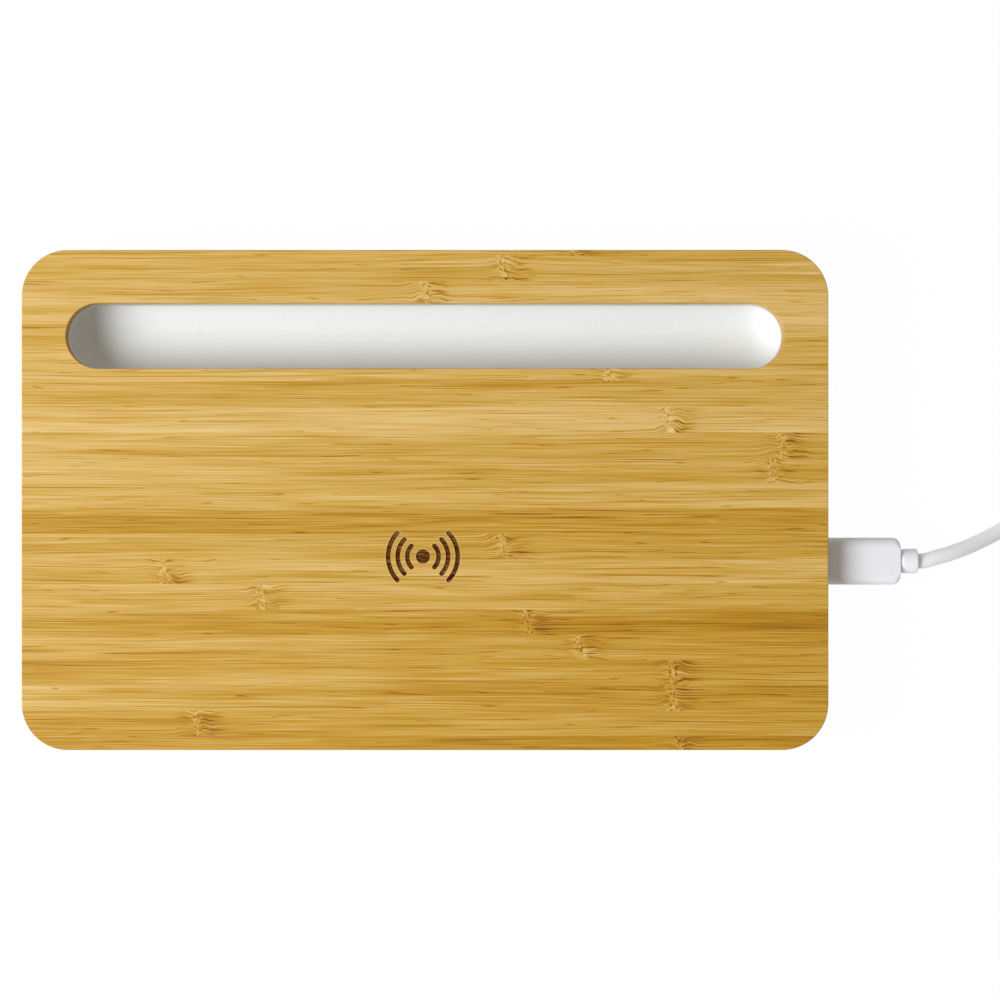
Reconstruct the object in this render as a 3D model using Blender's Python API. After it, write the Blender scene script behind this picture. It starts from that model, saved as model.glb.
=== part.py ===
# A wireless charging station: a bamboo top plate with a pen slot, on a white moulded base that
# holds the charging coil and its board, and a detachable cable that plugs into its right side.
# The file is in metres, +Z up. The origin is on the desk under the middle of the station,
# +X points to the cable's side and +Y to the pen slot.

import math

import bmesh
import bpy
from mathutils import Vector

mm = 0.001

# Clearances that every piece shares
seat_gap = 0.3 * mm
cut_overrun = 1.0 * mm
merge_distance = 0.001 * mm

# Bamboo top plate, its pen slot and the pocket under it
plate_length = 200.0 * mm
plate_width = 124.0 * mm
plate_thickness = 5.0 * mm
plate_corner_radius = 11.5 * mm
plate_edge_ease = 0.5 * mm
slot_end_margin = 11.0 * mm
slot_width = 16.2 * mm
slot_back_margin = 13.2 * mm
pocket_radius = 29.0 * mm
pocket_depth = 2.6 * mm

# Sign burnt into the plate: a dot with arcs to both sides
sign_x = -0.5 * mm
sign_y = -14.0 * mm
sign_depth = 0.3 * mm
sign_dot_radius = 1.74 * mm
sign_first_arc_radius = 3.95 * mm
sign_arc_pitch = 2.43 * mm
sign_arcs_per_side = 3
sign_stroke = 0.95 * mm
sign_half_angle = math.radians(42.5)

# Adhesive sheet between the plate and the housing
sheet_thickness = 0.3 * mm
sheet_edge_margin = 4.0 * mm
sheet_hole_margin = 1.5 * mm

# White moulded upper housing and its pen trough
housing_height = 11.0 * mm
housing_inset = 0.5 * mm
housing_wall = 2.0 * mm
housing_roof = 2.0 * mm
housing_edge_ease = 0.6 * mm
trough_mouth_clearance = 0.2 * mm
trough_wall = 1.5 * mm
trough_foot_radius = 1.2 * mm
trough_dish_angle = math.radians(40)
trough_flat_width = 2.0 * mm

# Base cover, feet and the screws between them
cover_thickness = 2.0 * mm
foot_diameter = 10.0 * mm
foot_proud = 1.5 * mm
foot_recess_depth = 0.8 * mm
foot_edge_ease = 0.4 * mm
cover_screw_shank_radius = 1.15 * mm
cover_screw_length = 6.0 * mm
cover_screw_head_radius = 2.2 * mm
cover_screw_head_height = 0.8 * mm
cover_screw_to_foot = 14.0 * mm
cover_boss_wall = 1.55 * mm
cover_boss_to_wall = 1.7 * mm

# Control board, its screws and its parts
board_length = 58.0 * mm
board_width = 40.0 * mm
board_thickness = 1.0 * mm
board_corner_radius = 1.5 * mm
board_above_cover = 1.7 * mm
board_hole_inset = 3.5 * mm
board_screw_shank_radius = 1.0 * mm
board_screw_length = 4.5 * mm
board_screw_head_radius = 1.9 * mm
board_screw_head_height = 1.0 * mm
board_post_wall = 1.2 * mm
controller_side = 6.0 * mm
controller_height = 0.9 * mm
controller_from_socket = 13.0 * mm
bridge_length = 5.0 * mm
bridge_width = 4.0 * mm
bridge_height = 0.9 * mm
bridge_pitch = 8.0 * mm
bridge_from_controller = 9.5 * mm
resonance_capacitor_length = 4.5 * mm
resonance_capacitor_width = 3.2 * mm
resonance_capacitor_height = 1.6 * mm
resonance_capacitor_pitch = 4.6 * mm
resonance_capacitor_count = 4
resonance_capacitor_from_edge = 13.0 * mm
input_capacitor_length = 3.2 * mm
input_capacitor_width = 1.6 * mm
input_capacitor_height = 1.6 * mm
input_capacitor_offset = 9.0 * mm
input_inductor_side = 5.0 * mm
input_inductor_height = 2.2 * mm
input_inductor_radius = 1.2 * mm
input_inductor_offset = 12.0 * mm
package_edge_ease = 0.15 * mm

# Transmitter coil, its ferrite sheet and its adhesive pad
coil_wire_diameter = 0.9 * mm
coil_inner_radius = 10.25 * mm
coil_turn_pitch = 1.36 * mm
coil_whole_turns = 8
coil_start_angle = math.radians(200)
coil_end_angle = math.radians(325)
ferrite_radius = 23.5 * mm
ferrite_thickness = 0.8 * mm
pad_radius = 23.0 * mm
pad_thickness = 0.2 * mm
lead_channel_width = 2.6 * mm
lead_channel_start = 3.5 * mm
lead_slot_length = 5.2 * mm
lead_slot_width = 7.0 * mm
lead_slot_from_ferrite = 0.9 * mm
lead_landing = 4.0 * mm

# USB-C socket on the board
socket_length = 7.35 * mm
socket_shell_wall = 0.25 * mm
socket_clearance = 0.2 * mm
socket_set_back = 0.3 * mm
socket_tongue_width = 6.69 * mm
socket_tongue_thickness = 0.7 * mm
socket_tongue_reach = 5.3 * mm
socket_base_length = 0.8 * mm

# USB-C plug
plug_y = -15.4 * mm
plug_shell_width = 8.25 * mm
plug_shell_height = 2.4 * mm
plug_shell_wall = 0.3 * mm
plug_shell_reach = 6.65 * mm
plug_shell_embedded = 2.7 * mm
plug_insert_reach = 1.2 * mm
overmold_length = 19.6 * mm
overmold_width = 11.8 * mm
overmold_height = 6.4 * mm
overmold_side_radius = 2.6 * mm
overmold_front_ease = 0.4 * mm
overmold_back_radius = 1.8 * mm
relief_length = 4.2 * mm
relief_radius = 3.15 * mm
relief_neck_radius = 2.6 * mm
relief_end_radius = 2.5 * mm

# Cable: its route is a list of places from the strain relief's end, its coil follows a rule
cable_diameter = 3.8 * mm
cable_coil_centre_x = 55.3 * mm
cable_coil_centre_y = 44.7 * mm
cable_coil_inner_radius = 13.4 * mm
cable_coil_pitch = 4.3 * mm
cable_coil_turns_per_layer = 3.375
cable_coil_start_angle = math.radians(-90)
cable_point_spacing = 8.0 * mm
cable_run_places_mm = (
    (0.0, 0.0, 0.0),
    (2.0, 0.1, 0.0),
    (4.4, 0.65, -0.1),
    (7.2, 1.5, -0.45),
    (11.0, 2.7, -1.3),
    (15.8, 4.6, -2.7),
    (21.5, 7.4, -4.4),
    (28.0, 11.0, -5.8),
    (35.0, 14.4, -6.2),
    (42.0, 16.4, -5.9),
)
cable_tail_places_mm = (
    (84.5, 52.9, -1.4),
    (85.5, 57.8, -2.65),
    (86.7, 62.7, -3.85),
)
tie_width = 5.0 * mm
tie_thickness = 0.6 * mm
tie_clearance = 0.5 * mm
tie_corner_radius = 1.6 * mm
tie_angle = math.radians(90)

# USB-A plug, lying on the desk at the cable's far end
far_plug_x = 88.0 * mm
far_plug_y = 67.6 * mm
far_plug_heading = math.radians(75)
far_relief_length = 6.0 * mm
far_relief_start_radius = 2.4 * mm
far_relief_end_radius = 3.3 * mm
far_overmold_length = 20.0 * mm
far_overmold_width = 15.8 * mm
far_overmold_height = 7.6 * mm
far_overmold_side_radius = 2.4 * mm
far_overmold_ease = 0.6 * mm
far_shell_width = 12.0 * mm
far_shell_height = 4.5 * mm
far_shell_reach = 12.0 * mm
far_shell_embedded = 3.0 * mm
far_shell_wall = 0.3 * mm
far_shell_radius = 0.6 * mm
far_tongue_thickness = 1.8 * mm
far_tongue_set_back = 0.8 * mm
far_contact_width = 1.0 * mm
far_contact_thickness = 0.25 * mm
far_contact_length = 6.4 * mm
far_contact_pitch = 2.3 * mm
far_contact_count = 4

# Facets
corner_steps = 8
slot_steps = 8
small_corner_steps = 4
shell_corner_steps = 2
foot_round_steps = 2
dish_steps = 4
round_steps = 3
foot_sides = 20
screw_sides = 12
boss_sides = 16
disc_sides = 40
cord_sides_resolution = 2
coil_sides_resolution = 1
points_per_loop = 24
route_steps = 20
sharp_edge_angle = math.radians(35)

# Levels and places that follow from the sizes
cover_bottom = foot_proud
cover_top = cover_bottom + cover_thickness
housing_bottom = cover_bottom
housing_top = housing_bottom + housing_height
roof_underside = housing_top - housing_roof
sheet_bottom = housing_top + seat_gap
plate_bottom = sheet_bottom + sheet_thickness + seat_gap
plate_top = plate_bottom + plate_thickness
housing_length = plate_length - 2 * housing_inset
housing_width = plate_width - 2 * housing_inset
housing_corner_radius = plate_corner_radius - housing_inset
slot_length = plate_length - 2 * slot_end_margin
slot_y = plate_width / 2 - slot_back_margin - slot_width / 2
trough_floor = cover_top + seat_gap + trough_wall
wall_inner_x = housing_length / 2 - housing_wall
wall_outer_x = housing_length / 2
foot_x = plate_length / 2 - plate_corner_radius
foot_y = plate_width / 2 - plate_corner_radius
cover_boss_bottom = cover_top + seat_gap
cover_boss_radius = cover_screw_shank_radius + seat_gap + cover_boss_wall
cover_screw_x = foot_x - cover_screw_to_foot
cover_screw_y = housing_width / 2 - housing_wall - cover_boss_to_wall - cover_boss_radius
board_bottom = cover_top + board_above_cover
board_top = board_bottom + board_thickness
board_right_x = wall_inner_x - seat_gap
board_left_x = board_right_x - board_length
board_x = board_right_x - board_length / 2
board_part_bottom = board_top + seat_gap
socket_inner_width = plug_shell_width + 2 * socket_clearance
socket_inner_height = plug_shell_height + 2 * socket_clearance
socket_outer_width = socket_inner_width + 2 * socket_shell_wall
socket_outer_height = socket_inner_height + 2 * socket_shell_wall
socket_mouth_x = wall_outer_x - socket_set_back
socket_back_x = socket_mouth_x - socket_length
plug_z = board_part_bottom + socket_outer_height / 2
overmold_start_x = wall_outer_x + seat_gap
overmold_end_x = overmold_start_x + overmold_length
relief_start_x = overmold_end_x + seat_gap
relief_end_x = relief_start_x + relief_length
cable_exit = Vector((relief_end_x + seat_gap, plug_y, plug_z))
coil_z = plate_bottom + pocket_depth - seat_gap - coil_wire_diameter
pad_bottom = housing_top + seat_gap
ferrite_bottom = pad_bottom + pad_thickness + seat_gap
ferrite_top = ferrite_bottom + ferrite_thickness


def finish(name, colour, roughness, metallic=0.0):
    """A material of one colour, given as red, green and blue shares of 255."""
    material = bpy.data.materials.new(name)
    material.use_nodes = True
    shader = material.node_tree.nodes["Principled BSDF"]
    linear = [(channel / 255) ** 2.2 for channel in colour]
    shader.inputs["Base Color"].default_value = (*linear, 1.0)
    shader.inputs["Roughness"].default_value = roughness
    shader.inputs["Metallic"].default_value = metallic
    return material


def rounded_rectangle(length, width, radius, steps):
    """An outline around zero with quarter arcs at its corners, anticlockwise."""
    points = []
    for quarter in range(4):
        side_x = 1 if quarter in (0, 3) else -1
        side_y = 1 if quarter in (0, 1) else -1
        centre = Vector((side_x * (length / 2 - radius), side_y * (width / 2 - radius)))
        for step in range(steps + 1):
            angle = (quarter + step / steps) * math.pi / 2
            points.append(centre + radius * Vector((math.cos(angle), math.sin(angle))))
    return points


def stadium(length, width, steps):
    """An outline with two straight sides and half round ends."""
    return rounded_rectangle(length, width, width / 2, steps)


def circle(radius, sides):
    """A round outline around zero, anticlockwise."""
    angles = [2 * math.pi * side / sides for side in range(sides)]
    return [radius * Vector((math.cos(angle), math.sin(angle))) for angle in angles]


def level(outline, z, x=0.0, y=0.0):
    """The outline laid flat at a height, moved to a place."""
    return [Vector((point.x + x, point.y + y, z)) for point in outline]


def upright(outline, x, y=0.0, z=0.0):
    """The outline stood up square to X, at a distance along X."""
    return [Vector((x, point.x + y, point.y + z)) for point in outline]


def loft(rings, ends="closed"):
    """A skin over rings of equally many points. Ends that are joined make a tube with a bore."""
    shape = bmesh.new()
    rows = [[shape.verts.new(point) for point in ring] for ring in rings]
    pairs = list(zip(rows, rows[1:]))
    if ends == "joined":
        pairs.append((rows[-1], rows[0]))
    for lower, upper in pairs:
        for i in range(len(lower)):
            j = (i + 1) % len(lower)
            shape.faces.new((lower[i], lower[j], upper[j], upper[i]))
    if ends == "closed":
        shape.faces.new(rows[0])
        shape.faces.new(rows[-1])
    bmesh.ops.remove_doubles(shape, verts=shape.verts, dist=merge_distance)
    bmesh.ops.recalc_face_normals(shape, faces=shape.faces)
    return shape


def turned(profile, sides, x=0.0, y=0.0):
    """A round shape about a standing axis, from pairs of radius and height."""
    return loft([level(circle(radius, sides), z, x, y) for radius, z in profile])


def turned_along_x(profile, sides):
    """A round shape about the X axis, from pairs of radius and distance."""
    return loft([upright(circle(radius, sides), x) for radius, x in profile])


def block(low, high, ease=0.0):
    """A box between two corners, with its edges eased if asked."""
    shape = bmesh.new()
    bmesh.ops.create_cube(shape, size=1.0)
    size = Vector(high) - Vector(low)
    middle = (Vector(high) + Vector(low)) / 2
    bmesh.ops.scale(shape, verts=shape.verts, vec=size)
    bmesh.ops.translate(shape, verts=shape.verts, vec=middle)
    if ease:
        edges = shape.edges[:]
        bmesh.ops.bevel(
            shape, geom=edges, offset=ease, segments=1, profile=0.5, affect="EDGES", material=-1
        )
    return shape


def copies_at(shape, places):
    """One copy of a shape at each place, in one mesh."""
    source = shape.verts[:] + shape.edges[:] + shape.faces[:]
    for place in places:
        made = bmesh.ops.duplicate(shape, geom=source)["geom"]
        points = [item for item in made if isinstance(item, bmesh.types.BMVert)]
        bmesh.ops.translate(shape, verts=points, vec=Vector(place))
    first = [item for item in source if isinstance(item, bmesh.types.BMVert)]
    bmesh.ops.delete(shape, geom=first, context="VERTS")
    return shape


def place_mesh(name, mesh, material, holder=None, at=(0.0, 0.0, 0.0)):
    """A named object for a mesh, with its material, at its place under its holder."""
    if not mesh.materials:
        mesh.materials.append(material)
    mesh.shade_smooth()
    mesh.set_sharp_from_angle(angle=sharp_edge_angle)
    made = bpy.data.objects.new(name, mesh)
    bpy.context.scene.collection.objects.link(made)
    made.location = at
    made.parent = holder
    return made


def add_piece(name, shape, material, holder=None, at=(0.0, 0.0, 0.0)):
    """A named object for a shape."""
    mesh = bpy.data.meshes.new(name)
    shape.to_mesh(mesh)
    shape.free()
    return place_mesh(name, mesh, material, holder, at)


def combine(target, shape, operation, name):
    """Adds a shape to an object, or cuts it out, with a Boolean modifier."""
    mesh = bpy.data.meshes.new(name)
    shape.to_mesh(mesh)
    shape.free()
    tool = bpy.data.objects.new(name, mesh)
    bpy.context.scene.collection.objects.link(tool)
    tool.parent = target.parent
    tool.hide_render = True
    tool.display_type = "WIRE"
    modifier = target.modifiers.new(name, "BOOLEAN")
    modifier.operation = operation
    modifier.solver = "EXACT"
    modifier.object = tool


def cut(target, shape, name):
    combine(target, shape, "DIFFERENCE", name)


def fuse(target, shape, name):
    combine(target, shape, "UNION", name)


def tube(name, points, diameter, sides_resolution, material, holder=None):
    """A round tube along a line of points, with closed ends."""
    curve = bpy.data.curves.new(name, "CURVE")
    curve.dimensions = "3D"
    spline = curve.splines.new("POLY")
    spline.points.add(len(points) - 1)
    for spline_point, point in zip(spline.points, points):
        spline_point.co = (*point, 1.0)
    curve.bevel_depth = diameter / 2
    curve.bevel_resolution = sides_resolution
    curve.use_fill_caps = True
    curve.materials.append(material)
    made = bpy.data.objects.new(name, curve)
    bpy.context.scene.collection.objects.link(made)
    made.parent = holder
    return made


def smooth_route(places, spacing):
    """Points at an even spacing on a smooth curve through the places."""
    fine = []
    padded = [2 * places[0] - places[1], *places, 2 * places[-1] - places[-2]]
    for before, start, end, after in zip(padded, padded[1:], padded[2:], padded[3:]):
        for step in range(route_steps):
            t = step / route_steps
            fine.append(
                0.5
                * (
                    2 * start
                    + (end - before) * t
                    + (2 * before - 5 * start + 4 * end - after) * t * t
                    + (3 * start - before - 3 * end + after) * t * t * t
                )
            )
    fine.append(places[-1])
    return evenly_spaced(fine, spacing)


def line_length(points):
    return sum((b - a).length for a, b in zip(points, points[1:]))


def evenly_spaced(points, spacing):
    """The same line with its points moved to even steps, its ends kept."""
    count = max(2, round(line_length(points) / spacing))
    step = line_length(points) / count
    even = [points[0]]
    walked = 0.0
    for a, b in zip(points, points[1:]):
        stretch = (b - a).length
        while len(even) < count and walked + stretch >= step * len(even):
            even.append(a.lerp(b, (step * len(even) - walked) / stretch))
        walked += stretch
    return [*even, points[-1]]


def least_gap(points, diameter, skip_length):
    """The least free space between stretches of one tube that lie further apart along it."""
    fine = evenly_spaced(points, diameter / 3)
    step = line_length(fine) / (len(fine) - 1)
    skip = math.ceil(skip_length / step)
    closest = min(
        (fine[i] - fine[j]).length
        for i in range(0, len(fine), 2)
        for j in range(i + skip, len(fine), 2)
    )
    return closest - diameter


def sign_shapes():
    """Shapes that reach from above the plate to the sign's depth: a dot and its arcs."""
    low = plate_top - sign_depth
    high = plate_top + cut_overrun
    dot = circle(sign_dot_radius, disc_sides // 2)
    rings = [[level(dot, low, sign_x, sign_y), level(dot, high, sign_x, sign_y)]]
    for side in (0.0, math.pi):
        for arc in range(sign_arcs_per_side):
            outline = arc_band(sign_first_arc_radius + arc * sign_arc_pitch, side)
            rings.append([level(outline, low, sign_x, sign_y), level(outline, high, sign_x, sign_y)])
    return rings


def arc_band(radius, side):
    """The outline of one arc of the sign, a band with round ends around a direction."""
    half = sign_stroke / 2
    points = []
    for edge, direction in ((radius + half, 1), (radius - half, -1)):
        for step in range(slot_steps + 1):
            angle = side + direction * sign_half_angle * (2 * step / slot_steps - 1)
            points.append(edge * Vector((math.cos(angle), math.sin(angle))))
        end_angle = side + direction * sign_half_angle
        end = radius * Vector((math.cos(end_angle), math.sin(end_angle)))
        for step in range(1, small_corner_steps):
            turn = end_angle + direction * math.pi * step / small_corner_steps
            turn += 0.0 if direction > 0 else math.pi
            points.append(end + half * Vector((math.cos(turn), math.sin(turn))))
    return points


def merged(shapes):
    """Several shapes that don't touch, in one mesh."""
    whole = bmesh.new()
    for shape in shapes:
        mesh = bpy.data.meshes.new("shape")
        shape.to_mesh(mesh)
        shape.free()
        whole.from_mesh(mesh)
        bpy.data.meshes.remove(mesh)
    return whole


def plate_outline(inset):
    """The plate's outline, drawn in on all sides."""
    return rounded_rectangle(
        plate_length - 2 * inset, plate_width - 2 * inset, plate_corner_radius - inset, corner_steps
    )


def build_top_plate(material):
    rings = [
        level(plate_outline(plate_edge_ease), plate_bottom),
        level(plate_outline(0.0), plate_bottom + plate_edge_ease),
        level(plate_outline(0.0), plate_top - plate_edge_ease),
        level(plate_outline(plate_edge_ease), plate_top),
    ]
    plate = add_piece("bamboo_top_plate", loft(rings), material)
    slot = stadium(slot_length, slot_width, slot_steps)
    slot_cut = loft(
        [level(slot, plate_bottom - cut_overrun, y=slot_y), level(slot, plate_top + cut_overrun, y=slot_y)]
    )
    cut(plate, slot_cut, "pen_slot_cut")
    pocket = [(pocket_radius, plate_bottom - cut_overrun), (pocket_radius, plate_bottom + pocket_depth)]
    cut(plate, turned(pocket, disc_sides, sign_x, sign_y), "coil_pocket_cut")
    cut(plate, merged([loft(rings) for rings in sign_shapes()]), "sign_cut")


def build_adhesive_sheet(material):
    outline = plate_outline(sheet_edge_margin)
    sheet_top = sheet_bottom + sheet_thickness
    sheet = add_piece(
        "top_adhesive_sheet", loft([level(outline, sheet_bottom), level(outline, sheet_top)]), material
    )
    low = sheet_bottom - cut_overrun
    high = sheet_top + cut_overrun
    slot = stadium(slot_length + 2 * sheet_hole_margin, slot_width + 2 * sheet_hole_margin, slot_steps)
    cut(sheet, loft([level(slot, low, y=slot_y), level(slot, high, y=slot_y)]), "sheet_slot_cut")
    window = pocket_radius + sheet_hole_margin
    cut(sheet, turned([(window, low), (window, high)], disc_sides, sign_x, sign_y), "sheet_coil_cut")


def trough_profile(wall):
    """Pairs of inset and height down the trough: an upright wall, a rounded foot, a dished floor."""
    steep = math.sin(trough_dish_angle)
    flat = math.cos(trough_dish_angle)
    half_width = slot_width / 2 + trough_mouth_clearance
    dish_run = half_width - trough_flat_width / 2 - trough_foot_radius * (1 - steep)
    dish_radius = dish_run / steep
    spring_z = trough_floor + trough_foot_radius * flat + dish_radius * (1 - flat)
    foot = trough_foot_radius + wall
    dish = dish_radius + wall
    pairs = []
    for step in range(foot_round_steps + 1):
        angle = math.pi / 2 + (trough_dish_angle - math.pi / 2) * step / foot_round_steps
        pairs.append((foot * (1 - math.sin(angle)), spring_z - foot * math.cos(angle)))
    inset, height = pairs[-1]
    for step in range(1, dish_steps + 1):
        angle = trough_dish_angle * (1 - step / dish_steps)
        drop = dish * (math.cos(angle) - flat)
        pairs.append((inset + dish * (steep - math.sin(angle)), height - drop))
    return pairs


def trough_rings(wall, first_z):
    """The trough from a height above its wall's foot down to its floor, or its outside."""
    mouth_length = slot_length + 2 * trough_mouth_clearance + 2 * wall
    mouth_width = slot_width + 2 * trough_mouth_clearance + 2 * wall
    mouth = stadium(mouth_length, mouth_width, slot_steps)
    rings = [level(mouth, first_z, y=slot_y)]
    for inset, height in trough_profile(wall):
        ring = stadium(mouth_length - 2 * inset, mouth_width - 2 * inset, slot_steps)
        rings.append(level(ring, height, y=slot_y))
    return rings


def housing_outline(inset):
    """The housing's outline, drawn in on all sides."""
    return rounded_rectangle(
        housing_length - 2 * inset,
        housing_width - 2 * inset,
        housing_corner_radius - inset,
        corner_steps,
    )


def cover_screw_places():
    """A row of three along the front and a row of three along the back."""
    columns = (-cover_screw_x, 0.0, cover_screw_x)
    return [(x, y, 0.0) for y in (-cover_screw_y, cover_screw_y) for x in columns]


def board_screw_places():
    half_length = board_length / 2 - board_hole_inset
    half_width = board_width / 2 - board_hole_inset
    columns = (board_x - half_length, board_x + half_length)
    return [(x, y, 0.0) for x in columns for y in (plug_y - half_width, plug_y + half_width)]


def build_upper_housing(material):
    rings = [
        level(housing_outline(housing_edge_ease), housing_bottom),
        level(housing_outline(0.0), housing_bottom + housing_edge_ease),
        level(housing_outline(0.0), housing_top),
    ]
    housing = add_piece("upper_housing", loft(rings), material)
    inside = housing_outline(housing_wall)
    hollow = loft([level(inside, housing_bottom - cut_overrun), level(inside, roof_underside)])
    cut(housing, hollow, "housing_hollow_cut")
    roof_middle = housing_top - housing_roof / 2
    fuse(housing, loft(trough_rings(trough_wall, roof_middle)), "trough_skin")
    boss = [(cover_boss_radius, cover_boss_bottom), (cover_boss_radius, roof_middle)]
    fuse(housing, copies_at(turned(boss, boss_sides), cover_screw_places()), "cover_bosses")
    post_radius = board_screw_shank_radius + seat_gap + board_post_wall
    post = [(post_radius, board_part_bottom), (post_radius, roof_middle)]
    fuse(housing, copies_at(turned(post, boss_sides), board_screw_places()), "board_posts")
    cut(housing, loft(trough_rings(0.0, housing_top + cut_overrun)), "trough_cut")

    screw_tip = cover_bottom + cover_screw_head_height + cover_screw_length
    hole_radius = cover_screw_shank_radius + seat_gap
    hole = [(hole_radius, cover_boss_bottom - cut_overrun), (hole_radius, screw_tip + seat_gap)]
    cut(housing, copies_at(turned(hole, screw_sides), cover_screw_places()), "cover_screw_holes")
    board_tip = board_bottom - seat_gap + board_screw_length
    hole_radius = board_screw_shank_radius + seat_gap
    hole = [(hole_radius, board_part_bottom - cut_overrun), (hole_radius, board_tip + seat_gap)]
    cut(housing, copies_at(turned(hole, screw_sides), board_screw_places()), "board_screw_holes")

    mouth_width = socket_outer_width + 2 * seat_gap
    mouth = stadium(mouth_width, socket_outer_height + 2 * seat_gap, small_corner_steps)
    mouth_rings = [
        upright(mouth, wall_inner_x - cut_overrun, plug_y, plug_z),
        upright(mouth, wall_outer_x + cut_overrun, plug_y, plug_z),
    ]
    cut(housing, loft(mouth_rings), "socket_mouth_cut")
    slot_x = sign_x + ferrite_radius + lead_slot_from_ferrite
    lead_slot = block(
        (slot_x, sign_y - lead_slot_width + lead_channel_width / 2, roof_underside - cut_overrun),
        (slot_x + lead_slot_length, sign_y + lead_channel_width / 2, housing_top + cut_overrun),
    )
    cut(housing, lead_slot, "lead_slot_cut")


def build_base_cover(material):
    outline = housing_outline(housing_wall + seat_gap)
    rings = [level(outline, cover_bottom), level(outline, cover_top)]
    cover = add_piece("base_cover", loft(rings), material)
    recess_radius = foot_diameter / 2 + seat_gap
    recess_top = cover_bottom + foot_recess_depth
    recess = [(recess_radius, cover_bottom - cut_overrun), (recess_radius, recess_top)]
    cut(cover, copies_at(turned(recess, foot_sides), foot_places()), "foot_recesses")
    head_radius = cover_screw_head_radius + seat_gap
    head_top = cover_bottom + cover_screw_head_height + seat_gap
    shank_radius = cover_screw_shank_radius + seat_gap
    hole = [
        (head_radius, cover_bottom - cut_overrun),
        (head_radius, head_top),
        (shank_radius, head_top),
        (shank_radius, cover_top + cut_overrun),
    ]
    cut(cover, copies_at(turned(hole, screw_sides), cover_screw_places()), "cover_screw_holes_cut")


def foot_places():
    return [(x, y, 0.0) for x in (-foot_x, foot_x) for y in (-foot_y, foot_y)]


def build_feet(material):
    radius = foot_diameter / 2
    top = cover_bottom + foot_recess_depth - seat_gap
    profile = [(radius - foot_edge_ease, 0.0), (radius, foot_edge_ease), (radius, top)]
    shape = turned(profile, foot_sides)
    mesh = bpy.data.meshes.new("rubber_foot")
    shape.to_mesh(mesh)
    shape.free()
    for number, place in enumerate(foot_places(), 1):
        place_mesh(f"rubber_foot_{number}", mesh, material, at=place)


def build_screws(name, head_bottom, head, shank, places, material):
    """Screws that point up, each head and shank a pair of radius and length."""
    head_top = head_bottom + head[1]
    profile = [
        (head[0], head_bottom),
        (head[0], head_top),
        (shank[0], head_top),
        (shank[0], head_top + shank[1]),
    ]
    shape = turned(profile, screw_sides)
    mesh = bpy.data.meshes.new(name)
    shape.to_mesh(mesh)
    shape.free()
    for number, place in enumerate(places, 1):
        place_mesh(f"{name}_{number}", mesh, material, at=place)


def build_board(material):
    outline = rounded_rectangle(board_length, board_width, board_corner_radius, small_corner_steps)
    rings = [level(outline, z, board_x, plug_y) for z in (board_bottom, board_top)]
    board = add_piece("control_board", loft(rings), material)
    radius = board_screw_shank_radius + seat_gap
    hole = [(radius, board_bottom - cut_overrun), (radius, board_top + cut_overrun)]
    cut(board, copies_at(turned(hole, screw_sides), board_screw_places()), "board_holes")


def package(length, width, height, radius=0.0):
    """The body of one board part around its own place, standing clear of the board."""
    half_x = length / 2
    half_y = width / 2
    top = board_part_bottom + height
    if radius:
        outline = rounded_rectangle(length, width, radius, small_corner_steps)
        return loft([level(outline, board_part_bottom), level(outline, top)])
    return block((-half_x, -half_y, board_part_bottom), (half_x, half_y, top), package_edge_ease)


def build_board_parts(chip, ceramic, ferrite):
    controller_x = socket_back_x - controller_from_socket
    bridge_x = controller_x - bridge_from_controller
    capacitor_x = board_left_x + resonance_capacitor_from_edge
    add_piece(
        "charging_controller_chip",
        package(controller_side, controller_side, controller_height),
        chip,
        at=(controller_x, plug_y, 0.0),
    )
    for number, side in enumerate((-1, 1), 1):
        bridge = package(bridge_length, bridge_width, bridge_height)
        place = (bridge_x, plug_y + side * bridge_pitch / 2, 0.0)
        add_piece(f"power_bridge_chip_{number}", bridge, chip, at=place)
        capacitor = package(input_capacitor_length, input_capacitor_width, input_capacitor_height)
        place = (controller_x, plug_y + side * input_capacitor_offset, 0.0)
        add_piece(f"input_capacitor_{number}", capacitor, ceramic, at=place)
    for number in range(resonance_capacitor_count):
        capacitor = package(
            resonance_capacitor_length, resonance_capacitor_width, resonance_capacitor_height
        )
        row_offset = (number - (resonance_capacitor_count - 1) / 2) * resonance_capacitor_pitch
        place = (capacitor_x, plug_y + row_offset, 0.0)
        add_piece(f"resonance_capacitor_{number + 1}", capacitor, ceramic, at=place)
    inductor = package(
        input_inductor_side, input_inductor_side, input_inductor_height, input_inductor_radius
    )
    add_piece("input_inductor", inductor, ferrite, at=(bridge_x, plug_y + input_inductor_offset, 0.0))


def disc_with_channel(name, radius, bottom, thickness, material):
    """A thin round sheet under the coil, open on the board's side for the inner lead."""
    profile = [(radius, bottom), (radius, bottom + thickness)]
    disc = add_piece(name, turned(profile, disc_sides, sign_x, sign_y), material)
    channel = block(
        (sign_x + lead_channel_start, sign_y - lead_channel_width / 2, bottom - cut_overrun),
        (sign_x + radius + cut_overrun, sign_y + lead_channel_width / 2, bottom + thickness + cut_overrun),
    )
    cut(disc, channel, f"{name}_channel")


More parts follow.
